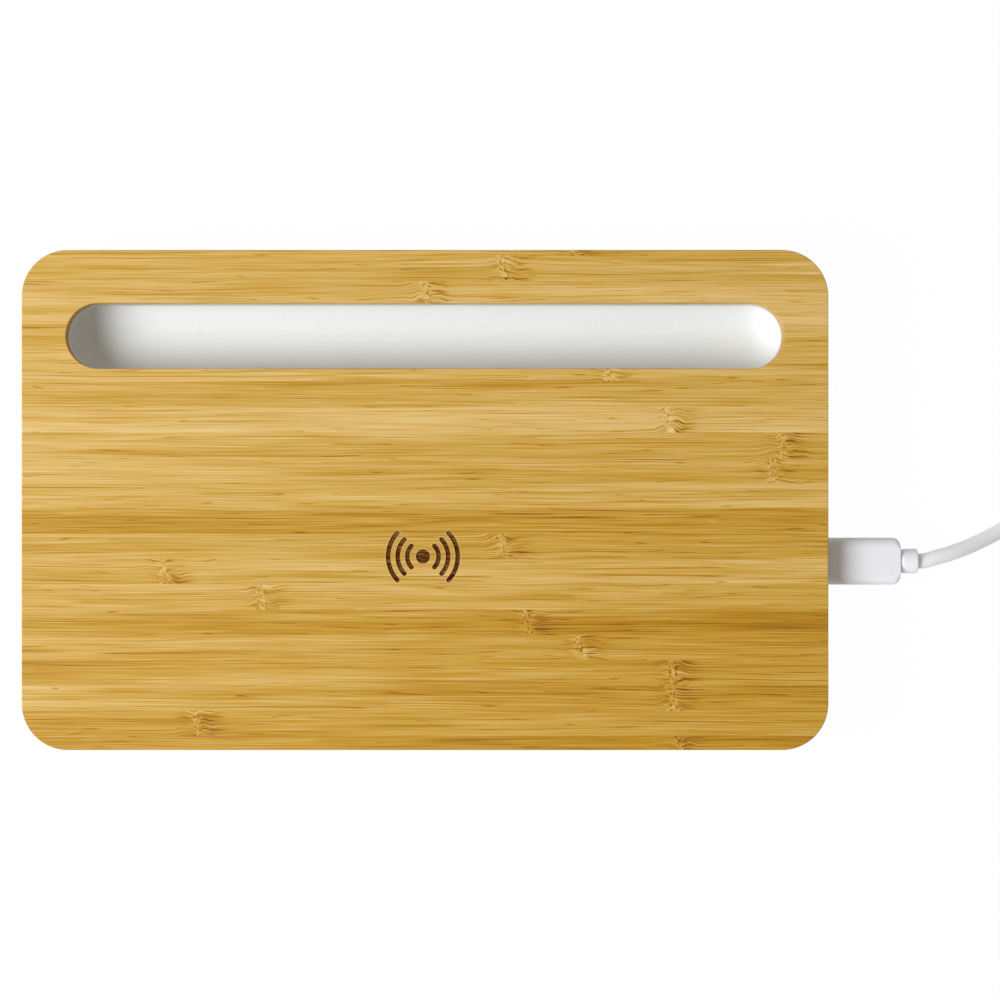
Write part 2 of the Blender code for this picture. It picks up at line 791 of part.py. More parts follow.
def transmitter_leads(turns):
    """The wire from the board to the first turn, and from the last turn back to the board."""
    wire = coil_wire_diameter
    crossing_z = (pad_bottom + ferrite_top) / 2 - seat_gap / 2
    landing_z = board_part_bottom + wire / 2
    slot_x = ferrite_radius + lead_slot_from_ferrite + lead_slot_length / 2
    landing_x = board_left_x + lead_landing - sign_x
    halfway_x = (landing_x + slot_x) / 2
    halfway_z = (landing_z + roof_underside) / 2
    outer_y = -lead_channel_width / 2 - 2 * wire
    inner_lead = [
        Vector((landing_x, 0.0, landing_z)),
        Vector((landing_x - lead_landing, 0.0, landing_z)),
        Vector((halfway_x, 0.0, halfway_z)),
        Vector((slot_x + wire, 0.0, roof_underside)),
        Vector((slot_x - wire, 0.0, housing_top)),
        Vector((ferrite_radius - 2 * wire, 0.0, crossing_z)),
        Vector((coil_inner_radius + 4 * wire, 0.0, crossing_z)),
        Vector((coil_inner_radius - wire, 0.0, crossing_z)),
        Vector((lead_channel_start + wire, 0.0, coil_z - wire / 6)),
        Vector((0.0, 0.0, coil_z)),
        Vector((wire - coil_inner_radius * 2 / 3, 0.0, coil_z)),
        Vector((2 * wire - coil_inner_radius, -wire / 2, coil_z)),
        turns[0],
    ]
    ahead = (turns[-1] - turns[-2]).normalized()
    outer_lead = [
        turns[-1],
        turns[-1] + ahead * 2 * wire,
        Vector((slot_x - 3 * wire, outer_y - 3 * wire, coil_z)),
        Vector((slot_x - wire, outer_y - wire, housing_top + wire)),
        Vector((slot_x, outer_y, roof_underside)),
        Vector((halfway_x, outer_y, halfway_z)),
        Vector((landing_x - lead_landing, outer_y, landing_z)),
        Vector((landing_x, outer_y, landing_z)),
    ]
    return inner_lead, outer_lead


def build_transmitter_coil(material):
    """One wire: up from the board, across under the turns, round them and down again."""
    whole_angle = coil_end_angle - coil_start_angle + 2 * math.pi * coil_whole_turns
    steps = round(whole_angle / (2 * math.pi) * points_per_loop)
    turns = []
    for step in range(steps + 1):
        turned_angle = whole_angle * step / steps
        radius = coil_inner_radius + coil_turn_pitch * turned_angle / (2 * math.pi)
        angle = coil_start_angle + turned_angle
        turns.append(Vector((radius * math.cos(angle), radius * math.sin(angle), coil_z)))
    inner_lead, outer_lead = transmitter_leads(turns)
    wire = coil_wire_diameter
    route = [
        *smooth_route(inner_lead, 2 * wire),
        *turns[1:-1],
        *smooth_route(outer_lead, 2 * wire),
    ]
    gap = least_gap(route, wire, 3 * coil_turn_pitch)
    print(f"transmitter coil: least gap to itself {gap / mm:.2f} mm")
    centre = Vector((sign_x, sign_y, 0.0))
    placed = [centre + point for point in route]
    tube("transmitter_coil", placed, wire, coil_sides_resolution, material)


def build_socket(shell_metal, plastic):
    outer = stadium(socket_outer_width, socket_outer_height, small_corner_steps)
    inner = stadium(socket_inner_width, socket_inner_height, small_corner_steps)
    rings = [
        upright(outer, socket_back_x, plug_y, plug_z),
        upright(outer, socket_mouth_x, plug_y, plug_z),
        upright(inner, socket_mouth_x, plug_y, plug_z),
        upright(inner, socket_back_x, plug_y, plug_z),
    ]
    add_piece("usb_socket_shell", loft(rings, ends="joined"), shell_metal)
    base = stadium(
        socket_inner_width - 2 * seat_gap, socket_inner_height - 2 * seat_gap, small_corner_steps
    )
    tongue = stadium(socket_tongue_width, socket_tongue_thickness, small_corner_steps)
    base_front = socket_back_x + socket_base_length
    rings = [
        upright(base, socket_back_x, plug_y, plug_z),
        upright(base, base_front, plug_y, plug_z),
        upright(tongue, base_front, plug_y, plug_z),
        upright(tongue, base_front + socket_tongue_reach, plug_y, plug_z),
    ]
    add_piece("usb_socket_tongue", loft(rings), plastic)


def build_usb_c_plug(holder, shell_metal, dark_plastic, white_plastic):
    """The plug's pieces around the holder, which sits on the plug's axis at the housing's wall."""
    tip = -plug_shell_reach + overmold_start_x - wall_outer_x
    face = overmold_start_x - wall_outer_x
    back = face + overmold_length
    outer = stadium(plug_shell_width, plug_shell_height, small_corner_steps)
    inner = stadium(
        plug_shell_width - 2 * plug_shell_wall, plug_shell_height - 2 * plug_shell_wall, small_corner_steps
    )
    shell_end = face + plug_shell_embedded
    rings = [upright(outer, tip), upright(outer, shell_end), upright(inner, shell_end), upright(inner, tip)]
    add_piece("usb_c_plug_shell", loft(rings, ends="joined"), shell_metal, holder)
    insert = stadium(
        plug_shell_width - 2 * plug_shell_wall - 2 * seat_gap,
        plug_shell_height - 2 * plug_shell_wall - 2 * seat_gap,
        small_corner_steps,
    )
    rings = [upright(insert, face - plug_insert_reach), upright(insert, shell_end)]
    add_piece("usb_c_plug_insert", loft(rings), dark_plastic, holder)

    def section(inset):
        return rounded_rectangle(
            overmold_width - 2 * inset,
            overmold_height - 2 * inset,
            overmold_side_radius - inset,
            small_corner_steps,
        )

    rings = [upright(section(overmold_front_ease), face), upright(section(0.0), face + overmold_front_ease)]
    for step in range(round_steps + 1):
        angle = math.pi / 2 * step / round_steps
        inset = overmold_back_radius * (1 - math.cos(angle))
        rings.append(upright(section(inset), back - overmold_back_radius * (1 - math.sin(angle))))
    overmold = add_piece("usb_c_plug_overmold", loft(rings), white_plastic, holder)
    seat = stadium(plug_shell_width + 2 * seat_gap, plug_shell_height + 2 * seat_gap, small_corner_steps)
    seat_rings = [upright(seat, face - cut_overrun), upright(seat, shell_end + seat_gap)]
    cut(overmold, loft(seat_rings), "plug_shell_seat")

    start = back + seat_gap
    profile = [
        (relief_neck_radius, start),
        (relief_neck_radius, start + relief_length / 8),
        (relief_radius, start + relief_length / 3),
        (relief_radius, start + relief_length * 3 / 4),
        (relief_end_radius, start + relief_length),
    ]
    add_piece("usb_c_strain_relief", turned_along_x(profile, boss_sides), white_plastic, holder)


def wound_cable_points():
    """The coil of cable from the strain relief's end: a lower layer that winds in, an upper out."""
    rate = cable_coil_pitch / (2 * math.pi)
    winding_angle = 2 * math.pi * cable_coil_turns_per_layer
    whole_angle = 2 * winding_angle + math.pi
    lower_z = tie_thickness + seat_gap + cable_diameter / 2 - plug_z
    steps = round(whole_angle / (2 * math.pi) * points_per_loop)
    points = []
    for step in range(steps + 1):
        angle = whole_angle * step / steps
        turning = angle - winding_angle
        if turning < 0:
            radius = cable_coil_inner_radius - rate * turning
            rise = 0.0
        elif turning < math.pi:
            radius = cable_coil_inner_radius - rate * math.sin(turning)
            share = turning / math.pi
            rise = share * share * (3 - 2 * share)
        else:
            radius = cable_coil_inner_radius + rate * (turning - math.pi)
            rise = 1.0
        direction = cable_coil_start_angle + angle
        x = cable_coil_centre_x + radius * math.cos(direction)
        y = cable_coil_centre_y + radius * math.sin(direction)
        points.append(Vector((x, y, lower_z + rise * cable_coil_pitch)))
    before = (points[0] - points[1]).normalized()
    after = (points[-1] - points[-2]).normalized()
    return [points[0] + before * cable_diameter, *points, points[-1] + after * cable_diameter]


def build_cable(holder, exit_offset, white_cable, tie_material, shell_metal, dark_plastic, white_plastic):
    """The cable's free run, its coil, the tie, the tail and the far plug."""
    coil = wound_cable_points()
    arrive = (coil[1] - coil[0]).normalized()
    leave = (coil[-1] - coil[-2]).normalized()
    run_end = coil[0] - arrive * seat_gap
    tail_start = coil[-1] + leave * seat_gap
    far_plug = Vector((far_plug_x, far_plug_y, far_overmold_height / 2 - plug_z))
    heading = Vector((math.cos(far_plug_heading), math.sin(far_plug_heading), 0.0))
    run_places = [Vector(place) * mm for place in cable_run_places_mm]
    run_places += [run_end - arrive * cable_diameter, run_end]
    tail_places = [Vector(place) * mm for place in cable_tail_places_mm]
    tail_places = [tail_start, tail_start + leave * cable_diameter / 2, *tail_places]
    tail_places += [far_plug - heading * cable_diameter, far_plug]
    run = smooth_route(run_places, cable_point_spacing / 2)
    tail = smooth_route(tail_places, cable_point_spacing / 2)
    lengths = [line_length(points) for points in (run, coil, tail)]
    print("cable: run, coil and tail", ", ".join(f"{length / mm:.1f}" for length in lengths), "mm")
    print(f"cable: {sum(lengths) / mm:.1f} mm in all")
    gap = least_gap(coil, cable_diameter, 4 * cable_diameter)
    print(f"cable coil: least gap to itself {gap / mm:.2f} mm")
    run_object = tube("cable_run", run, cable_diameter, cord_sides_resolution, white_cable, holder)
    coil_object = tube("cable_coil", coil, cable_diameter, coil_sides_resolution, white_cable, holder)
    tail_object = tube("cable_tail", tail, cable_diameter, cord_sides_resolution, white_cable, holder)
    for piece in (run_object, coil_object, tail_object):
        piece.location = exit_offset
    build_tie(holder, exit_offset, coil, tie_material)
    build_usb_a_plug(holder, exit_offset + far_plug, shell_metal, dark_plastic, white_plastic)


def build_tie(holder, exit_offset, coil, material):
    """A strap round all the turns of the coil at one place, on the desk."""
    direction = Vector((math.cos(tie_angle), math.sin(tie_angle), 0.0))
    centre = Vector((cable_coil_centre_x, cable_coil_centre_y, 0.0))
    near = []
    for point in coil:
        away = Vector((point.x, point.y, 0.0)) - centre
        if away.normalized().dot(direction) > math.cos(math.pi / points_per_loop):
            near.append((away.length, point.z))
    reach = cable_diameter / 2 + tie_clearance
    inner_low = min(radius for radius, _ in near) - reach
    inner_high = max(radius for radius, _ in near) + reach
    floor_z = -plug_z
    inner_bottom = floor_z + tie_thickness
    inner_top = max(z for _, z in near) + cable_diameter / 2 + seat_gap
    middle_radius = (inner_low + inner_high) / 2
    middle_z = (inner_bottom + inner_top) / 2
    rings = []
    for grown, side in ((tie_thickness, -1), (tie_thickness, 1), (0.0, 1), (0.0, -1)):
        outline = rounded_rectangle(
            inner_high - inner_low + 2 * grown,
            inner_top - inner_bottom + 2 * grown,
            tie_corner_radius + grown,
            small_corner_steps,
        )
        rings.append(upright(outline, side * tie_width / 2, middle_radius, middle_z))
    tie = add_piece("cable_tie", loft(rings, ends="joined"), material, holder)
    tie.location = exit_offset + centre
    tie.rotation_euler.z = tie_angle - math.pi / 2


def build_usb_a_plug(holder, at, shell_metal, dark_plastic, white_plastic):
    """The far plug around its own empty, which sits at its cable end and points to its tip."""
    far_plug = bpy.data.objects.new("usb_a_plug_axis", None)
    bpy.context.scene.collection.objects.link(far_plug)
    far_plug.parent = holder
    far_plug.location = at
    far_plug.rotation_euler.z = far_plug_heading
    relief_start = seat_gap
    relief_end = relief_start + far_relief_length
    profile = [(far_relief_start_radius, relief_start), (far_relief_end_radius, relief_end)]
    add_piece("usb_a_strain_relief", turned_along_x(profile, boss_sides), white_plastic, far_plug)

    body_start = relief_end + seat_gap
    body_end = body_start + far_overmold_length

    def section(inset):
        return rounded_rectangle(
            far_overmold_width - 2 * inset,
            far_overmold_height - 2 * inset,
            far_overmold_side_radius - inset,
            small_corner_steps,
        )

    rings = [
        upright(section(far_overmold_ease), body_start),
        upright(section(0.0), body_start + far_overmold_ease),
        upright(section(0.0), body_end - far_overmold_ease),
        upright(section(far_overmold_ease), body_end),
    ]
    overmold = add_piece("usb_a_plug_overmold", loft(rings), white_plastic, far_plug)
    shell_start = body_end - far_shell_embedded
    shell_end = body_end + far_shell_reach
    outer = rounded_rectangle(far_shell_width, far_shell_height, far_shell_radius, shell_corner_steps)
    inner_width = far_shell_width - 2 * far_shell_wall
    inner_height = far_shell_height - 2 * far_shell_wall
    inner_radius = far_shell_radius - far_shell_wall
    inner = rounded_rectangle(inner_width, inner_height, inner_radius, shell_corner_steps)
    seat_width = far_shell_width + 2 * seat_gap
    seat_height = far_shell_height + 2 * seat_gap
    seat = rounded_rectangle(seat_width, seat_height, far_shell_radius, shell_corner_steps)
    seat_rings = [upright(seat, shell_start - seat_gap), upright(seat, body_end + cut_overrun)]
    cut(overmold, loft(seat_rings), "far_shell_seat")
    rings = [
        upright(outer, shell_start),
        upright(outer, shell_end),
        upright(inner, shell_end),
        upright(inner, shell_start),
    ]
    add_piece("usb_a_shell", loft(rings, ends="joined"), shell_metal, far_plug)

    tongue_bottom = -inner_height / 2 + seat_gap
    tongue_top = tongue_bottom + far_tongue_thickness
    tongue_half = inner_width / 2 - seat_gap
    tongue_end = shell_end - far_tongue_set_back
    tongue = block((shell_start, -tongue_half, tongue_bottom), (tongue_end, tongue_half, tongue_top))
    add_piece("usb_a_tongue", tongue, dark_plastic, far_plug)
    contact_bottom = tongue_top + seat_gap
    contact_end = tongue_end - far_tongue_set_back
    for number in range(far_contact_count):
        y = (number - (far_contact_count - 1) / 2) * far_contact_pitch
        contact = block(
            (contact_end - far_contact_length, y - far_contact_width / 2, contact_bottom),
            (contact_end, y + far_contact_width / 2, contact_bottom + far_contact_thickness),
        )
        add_piece(f"usb_a_contact_{number + 1}", contact, shell_metal, far_plug)


def build_station():
    bamboo = finish("bamboo", (205, 165, 90), 0.5)
    adhesive = finish("adhesive_film", (225, 225, 220), 0.6)
    white_abs = finish("white_abs", (238, 238, 236), 0.42)
    rubber = finish("grey_rubber", (70, 70, 72), 0.85)
    steel = finish("zinc_plated_steel", (190, 190, 186), 0.35, 1.0)
    board_green = finish("green_board", (30, 92, 58), 0.4)
    chip = finish("black_epoxy", (28, 28, 30), 0.5)
    ceramic = finish("capacitor_ceramic", (176, 146, 104), 0.5)
    ferrite = finish("black_ferrite", (46, 46, 48), 0.6)
    copper = finish("enamelled_copper", (184, 110, 60), 0.35, 1.0)
    nickel = finish("nickel_plated_steel", (200, 200, 198), 0.25, 1.0)
    white_pvc = finish("white_pvc", (240, 240, 238), 0.5)
    black_nylon = finish("black_nylon", (36, 36, 38), 0.55)
    tie_fabric = finish("white_strap", (228, 228, 224), 0.8)

    build_top_plate(bamboo)
    build_adhesive_sheet(adhesive)
    build_upper_housing(white_abs)
    build_base_cover(white_abs)
    build_feet(rubber)
    build_screws(
        "cover_screw",
        cover_bottom,
        (cover_screw_head_radius, cover_screw_head_height),
        (cover_screw_shank_radius, cover_screw_length),
        cover_screw_places(),
        steel,
    )
    build_board(board_green)
    build_screws(
        "board_screw",
        board_bottom - seat_gap - board_screw_head_height,
        (board_screw_head_radius, board_screw_head_height),
        (board_screw_shank_radius, board_screw_length),
        board_screw_places(),
        steel,
    )
    build_board_parts(chip, ceramic, ferrite)
    disc_with_channel("coil_adhesive_pad", pad_radius, pad_bottom, pad_thickness, adhesive)
    disc_with_channel("ferrite_sheet", ferrite_radius, ferrite_bottom, ferrite_thickness, ferrite)
    build_transmitter_coil(copper)
    build_socket(nickel, black_nylon)

    cable_axis = bpy.data.objects.new("charging_cable_axis", None)
    bpy.context.scene.collection.objects.link(cable_axis)
    cable_axis.location = (wall_outer_x, plug_y, plug_z)
    build_usb_c_plug(cable_axis, nickel, black_nylon, white_pvc)
    exit_offset = cable_exit - cable_axis.location
    build_cable(cable_axis, exit_offset, white_pvc, tie_fabric, nickel, black_nylon, white_pvc)


for old in list(bpy.data.objects):
    bpy.data.objects.remove(old)
build_station()
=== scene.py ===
# %% [markdown]
# # A wireless charging station in bamboo and white ABS
# The object is a flat desk organiser. A bamboo plate with a long pen slot lies on a white moulded
# base, which holds a charging coil and its control board. A detachable USB-C cable plugs into its
# right side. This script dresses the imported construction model: it keeps the hidden parts, gives
# them materials, and remodels each outside part finely in the same place.

import math
from functools import partial

import bmesh
import bpy
from mathutils import Matrix, Vector


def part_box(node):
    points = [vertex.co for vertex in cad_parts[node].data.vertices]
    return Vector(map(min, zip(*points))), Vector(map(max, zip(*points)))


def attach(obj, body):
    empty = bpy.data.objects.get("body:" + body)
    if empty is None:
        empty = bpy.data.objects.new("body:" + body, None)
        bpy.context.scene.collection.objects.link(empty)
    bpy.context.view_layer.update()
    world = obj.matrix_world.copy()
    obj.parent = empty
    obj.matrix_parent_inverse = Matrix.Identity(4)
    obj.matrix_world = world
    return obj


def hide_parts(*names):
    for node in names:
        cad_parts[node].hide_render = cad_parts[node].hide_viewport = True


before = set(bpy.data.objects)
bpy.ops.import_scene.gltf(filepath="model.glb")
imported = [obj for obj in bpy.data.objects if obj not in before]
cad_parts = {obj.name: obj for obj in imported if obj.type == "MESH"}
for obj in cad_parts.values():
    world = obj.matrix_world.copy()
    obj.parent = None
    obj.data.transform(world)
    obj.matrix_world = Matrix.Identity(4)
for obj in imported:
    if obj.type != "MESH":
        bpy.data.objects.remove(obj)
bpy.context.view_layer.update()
print("nodes in the frame:", len(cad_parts))

# %% [markdown]
# ## Units and sizes
# Blender works in metres here, so a size is written in millimetres times `mm`. Levels and outside
# sizes are read from the frame's own boxes, so the new parts sit exactly where the old ones do.
# Only what a box can't tell, such as a corner radius or the slot's place, is written down again.

# %% Sizes of the plate, its slot and the base
mm = 0.001

plate_low, plate_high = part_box("bamboo_top_plate")
plate_top = plate_high.z
plate_corner_radius = 11.5 * mm
plate_edge_ease = 0.25 * mm
slot_length = 178.0 * mm
slot_width = 16.2 * mm
slot_y = 40.7 * mm
sign_x = -0.5 * mm
sign_y = -14.0 * mm
sign_depth = 0.3 * mm
pocket_radius = 29.0 * mm
pocket_depth = 2.6 * mm

housing_low, housing_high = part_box("upper_housing")
housing_corner_radius = plate_corner_radius - (plate_high.x - housing_high.x)
housing_wall = 2.0 * mm
housing_roof = 2.0 * mm
trough_clearance = 0.2 * mm
trough_wall = 1.5 * mm
trough_floor = 5.3 * mm
trough_foot_radius = 1.2 * mm
trough_dish_angle = math.radians(40)
trough_flat_width = 2.0 * mm

# How far a cutter reaches past what it cuts, and a gap too fine to see
overrun = 1.0 * mm
fine_gap = 0.05 * mm
print(f"plate top {plate_top / mm:.1f} mm, housing top {housing_high.z / mm:.1f} mm")

# %% [markdown]
# ## The camera
# The photograph looks straight down, so the camera has no turn at all. It hangs 600 mm above the
# plate, which makes the far walls of the slot just visible at its ends. The object lies left of the
# picture's middle because the cable leaves on the right, and a small lens shift gives that framing
# without tilting the view. It comes before the cord, because the cord's unseen length has to lie
# outside this view.

# %% Camera straight above the plate
picture_width_px = 1000
plate_left_px = 21.5
plate_right_px = 828.5
camera_distance = 600.0 * mm
sensor_width = 36.0

plate_length = plate_high.x - plate_low.x
view_width = plate_length * picture_width_px / (plate_right_px - plate_left_px)
plate_middle_px = (plate_left_px + plate_right_px) / 2


def in_scene(name, data):
    """A new object in the scene, for a mesh, a curve, a lamp or a camera."""
    made = bpy.data.objects.new(name, data)
    bpy.context.scene.collection.objects.link(made)
    return made


camera_data = bpy.data.cameras.new("camera")
camera_data.sensor_width = sensor_width
camera_data.lens = sensor_width * camera_distance / view_width
camera_data.shift_x = (picture_width_px / 2 - plate_middle_px) / picture_width_px
camera_data.clip_start = 10 * mm
camera = in_scene("camera", camera_data)
camera.location = (0.0, 0.0, plate_top + camera_distance)
bpy.context.scene.camera = camera
bpy.context.scene.view_settings.view_transform = "Standard"
print(f"lens {camera_data.lens:.1f} mm, shift {camera_data.shift_x:.3f}")

# %% [markdown]
# ## Colours and material nodes
# A colour is written as the hex value that a paint program shows, and one function turns it to the
# linear light that Blender mixes with. A second one fills a node's inputs: with a value, a socket, or
# a whole node, whose first output is then used. A third adds any shader node and fills it, so that a
# material reads as a list of steps. Inputs are given in their order, or by name in a dictionary.

# %% Colours
def linear(hex_colour):
    """A hex colour as Blender's linear red, green, blue and alpha."""
    channels = [int(hex_colour[i : i + 2], 16) / 255 for i in (1, 3, 5)]
    light = [c / 12.92 if c <= 0.04045 else ((c + 0.055) / 1.055) ** 2.4 for c in channels]
    return (*light, 1.0)


# %% Nodes and materials
def fill(node, inputs):
    """Gives a node's inputs their values, and links those that come from another node."""
    for place, value in inputs.items():
        if isinstance(value, bpy.types.Node):
            value = value.outputs[0]
        if isinstance(value, bpy.types.NodeSocket):
            node.id_data.links.new(value, node.inputs[place])
        else:
            node.inputs[place].default_value = value


def add_node(tree, kind, *values, **settings):
    """A shader node with its settings and its inputs, in order or in one dictionary."""
    made = tree.nodes.new("ShaderNode" + kind)
    for name, value in settings.items():
        setattr(made, name, value)
    by_name = bool(values) and isinstance(values[0], dict)
    fill(made, values[0] if by_name else dict(enumerate(values)))
    return made


def set_tones(ramp, tones):
    """Gives a colour ramp its tones: a place along the ramp and a hex colour for each."""
    stops = ramp.color_ramp.elements
    for index, (position, hex_colour) in enumerate(tones):
        stop = stops[index] if index < 2 else stops.new(position)
        stop.position = position
        stop.color = linear(hex_colour)


def new_material(name, roughness, metallic=0.0):
    """A material, the function that adds a node to it, and its shader."""
    material = bpy.data.materials.new(name)
    material.use_nodes = True
    shader = material.node_tree.nodes["Principled BSDF"]
    fill(shader, {"Roughness": roughness, "Metallic": metallic})
    return material, partial(add_node, material.node_tree), shader


# %% [markdown]
# ## Plain moulded and plated finishes
# Most parts are one even stuff whose surface shows only a fine texture: spark-eroded ABS, soft PVC,
# rubber, plated steel. They share one recipe. A noise at the real size of the mould's or the
# plating's grain tints the colour a little and lifts the surface a little, and a second, slower
# noise varies the roughness, as handling and uneven cooling do.

# %% A finish with a fine grain
# The roughness varies over this distance, and by this share of itself
wear_size = 25.0 * mm
wear_share = 0.15


def grained_finish(name, dark, pale, roughness, grain_size, relief, metallic=0.0, stretch=(1, 1, 1)):
    """One stuff whose colour moves between two close tones with a grain of a real size."""
    material, add, shader = new_material(name, roughness, metallic)
    place = add("TexCoord").outputs["Object"]
    scaled = add("Mapping", {"Vector": place, "Scale": Vector(stretch) / grain_size})
    grain = add("TexNoise", {"Vector": scaled, "Scale": 1.0, "Detail": 3.0})
    tint = add("ValToRGB", grain)
    set_tones(tint, [(0.35, dark), (0.65, pale)])
    wear = add("TexNoise", {"Vector": place, "Scale": 1 / wear_size, "Detail": 2.0})
    polished, worn = (1 - wear_share) * roughness, (1 + wear_share) * roughness
    rough = add("MapRange", wear, 0.0, 1.0, polished, worn)
    lift = add("Bump", {"Height": grain, "Strength": 0.5, "Distance": relief})
    fill(shader, {"Base Color": tint, "Roughness": rough, "Normal": lift})
    return material


# %% [markdown]
# The base is injection-moulded ABS with a fine spark-eroded texture, so it is a soft, nearly matt
# white. The plugs' overmoulds are smoother thermoplastic elastomer and the cable's jacket is PVC,
# both paler and a trace bluer. Feet are silicone rubber: dark, dull and even.

# %% Plastics and rubber
# Moulded ABS: a cool white, nearly matt, with a grain of a third of a millimetre
abs_white = grained_finish("moulded_white_abs", "#e1e4e4", "#e5e8e8", 0.7, 0.35 * mm, 0.006 * mm)
# Elastomer overmould: smoother and slightly translucent to the eye, so a little paler
overmould_white = grained_finish(
    "moulded_white_elastomer", "#f0f1f6", "#f4f5fa", 0.48, 0.30 * mm, 0.004 * mm
)
# Extruded PVC jacket: fine lines along the extrusion are too small to see, only a soft sheen is
jacket_white = grained_finish("extruded_white_pvc", "#f4f5f9", "#f7f8fb", 0.40, 0.50 * mm, 0.004 * mm)
# Silicone rubber: dull, it scatters light at every angle
foot_rubber = grained_finish("moulded_grey_rubber", "#444446", "#4c4c4f", 0.85, 0.25 * mm, 0.010 * mm)
# Glass-filled nylon of the tongues: black with a slight bloom
nylon_black = grained_finish("moulded_black_nylon", "#212123", "#29292b", 0.55, 0.20 * mm, 0.004 * mm)
# Acrylic foam tape: off-white, matt, with visible cells
tape_white = grained_finish("acrylic_foam_tape", "#dcdcd6", "#e6e6e1", 0.75, 0.30 * mm, 0.015 * mm)

# %% [markdown]
# Metals keep Blender's default index of refraction, and their colour comes from the metal itself:
# zinc is bluish grey and slightly blotchy, nickel is warmer and brighter, copper under enamel is
# reddish. The stretched grain on nickel is the rolling direction of the sheet it is drawn from.

# %% Metals
zinc_plate = grained_finish("zinc_plated_steel", "#a9abac", "#c6c7c6", 0.34, 0.60 * mm, 0.003 * mm, 1.0)
nickel_plate = grained_finish(
    "nickel_plated_steel", "#bdbab3", "#cdcac3", 0.24, 0.15 * mm, 0.002 * mm, 1.0, (0.1, 1, 1)
)
copper_enamelled = grained_finish(
    "enamelled_copper_wire", "#a85f33", "#bd7444", 0.30, 0.40 * mm, 0.003 * mm, 1.0
)
print("plain finishes:", len(bpy.data.materials))

# %% [markdown]
# The electronics stay inside, but a part library is opened up, so they get real finishes too:
# glass-epoxy board under green solder mask, black epoxy packages with a laser-dulled top, brown
# ceramic capacitors and dark sintered ferrite.

# %% Electronics
solder_mask = grained_finish("green_solder_mask", "#17492f", "#1f5c3a", 0.32, 1.20 * mm, 0.010 * mm)
epoxy_black = grained_finish("black_epoxy_package", "#1a1a1c", "#222224", 0.58, 0.12 * mm, 0.003 * mm)
ceramic_brown = grained_finish("fired_capacitor_ceramic", "#9c7c50", "#ad8c5e", 0.5, 0.15 * mm, 0.002 * mm)
ferrite_dark = grained_finish("sintered_ferrite", "#2b2b2d", "#363638", 0.62, 0.25 * mm, 0.006 * mm)
print("with those of the electronics:", len(bpy.data.materials))

# %% [markdown]
# ## Dressing the hidden parts
# The inner nodes have the right shape already, so they only get a better material in the slot that
# they have. A table pairs the start of a node's name with its finish.

# %% Materials on the frame's own nodes
node_finishes = {
    "control_board": solder_mask,
    "charging_controller_chip": epoxy_black,
    "power_bridge_chip": epoxy_black,
    "resonance_capacitor": ceramic_brown,
    "input_capacitor": ceramic_brown,
    "input_inductor": ferrite_dark,
    "ferrite_sheet": ferrite_dark,
    "coil_adhesive_pad": tape_white,
    "top_adhesive_sheet": tape_white,
    "transmitter_coil": copper_enamelled,
    "usb_socket_tongue": nylon_black,
    "usb_c_plug_insert": nylon_black,
    "board_screw": zinc_plate,
}
dressed = 0
for node_name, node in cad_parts.items():
    for start, material in node_finishes.items():
        if node_name.startswith(start):
            node.material_slots[0].material = material
            dressed += 1
print("inner nodes dressed:", dressed)

# %% [markdown]
# ## Shaping tools
# Nearly every outside part is a block with rounded edges, a turned shape, or one of these with
# something carved out, so three small functions do most of the work. Bevelling the four edges along
# one axis makes a bar with round corners. Spinning a half profile makes a turned part. A Boolean,
# applied at once, carves one shape out of another.

# %% Rounded bars
merge_distance = 0.001 * mm


def rounded_bar(low, high, axis, radius, steps=12):
    """A block between two corners, its four edges along one axis (0, 1 or 2) rounded."""
    shape = bmesh.new()
    bmesh.ops.create_cube(shape, size=1.0)
    bmesh.ops.scale(shape, verts=shape.verts, vec=Vector(high) - Vector(low))
    moved(shape, (Vector(high) + Vector(low)) / 2)
    along = [e for e in shape.edges if e.verts[0].co[axis] != e.verts[1].co[axis]]
    bevel(shape, along, radius, steps)
    bmesh.ops.remove_doubles(shape, verts=shape.verts, dist=merge_distance)
    return shape


def moved(shape, offset):
    """The shape, shifted as a whole."""
    bmesh.ops.translate(shape, verts=shape.verts, vec=offset)
    return shape


def bevel(shape, edges, width, steps):
    """Rounds edges of a shape."""
    bmesh.ops.bevel(
        shape,
        geom=edges,
        offset=width,
        segments=steps,
        profile=0.5,
        affect="EDGES",
        material=-1,
        clamp_overlap=True,
    )


def edges_at(shape, axis, place):
    """The edges that lie in a plane square to an axis."""
    return [
        e for e in shape.edges if all(abs(v.co[axis] - place) < merge_distance for v in e.verts)
    ]


def sharp_edges(shape, least_angle=50):
    """The edges whose two faces meet at more than an angle in degrees."""
    return [e for e in shape.edges if e.calc_face_angle(0.0) > math.radians(least_angle)]


# %% Turned shapes
def turned(profile, steps=48, axis=(0, 0, 1)):
    """A closed turned shape from a half profile of (radius, height) pairs, from axis to axis."""
    shape = bmesh.new()
    points = [shape.verts.new((radius, 0.0, height)) for radius, height in profile]
    edges = [shape.edges.new(pair) for pair in zip(points, points[1:])]
    bmesh.ops.spin(
        shape,
        geom=points + edges,
        cent=(0, 0, 0),
        axis=(0, 0, 1),
        angle=2 * math.pi,
        steps=steps,
        use_merge=True,
    )
    bmesh.ops.remove_doubles(shape, verts=shape.verts, dist=merge_distance)
    bmesh.ops.recalc_face_normals(shape, faces=shape.faces)
    turn = Vector((0, 0, 1)).rotation_difference(Vector(axis)).to_matrix()
    bmesh.ops.rotate(shape, verts=shape.verts, cent=(0, 0, 0), matrix=turn)
    return shape


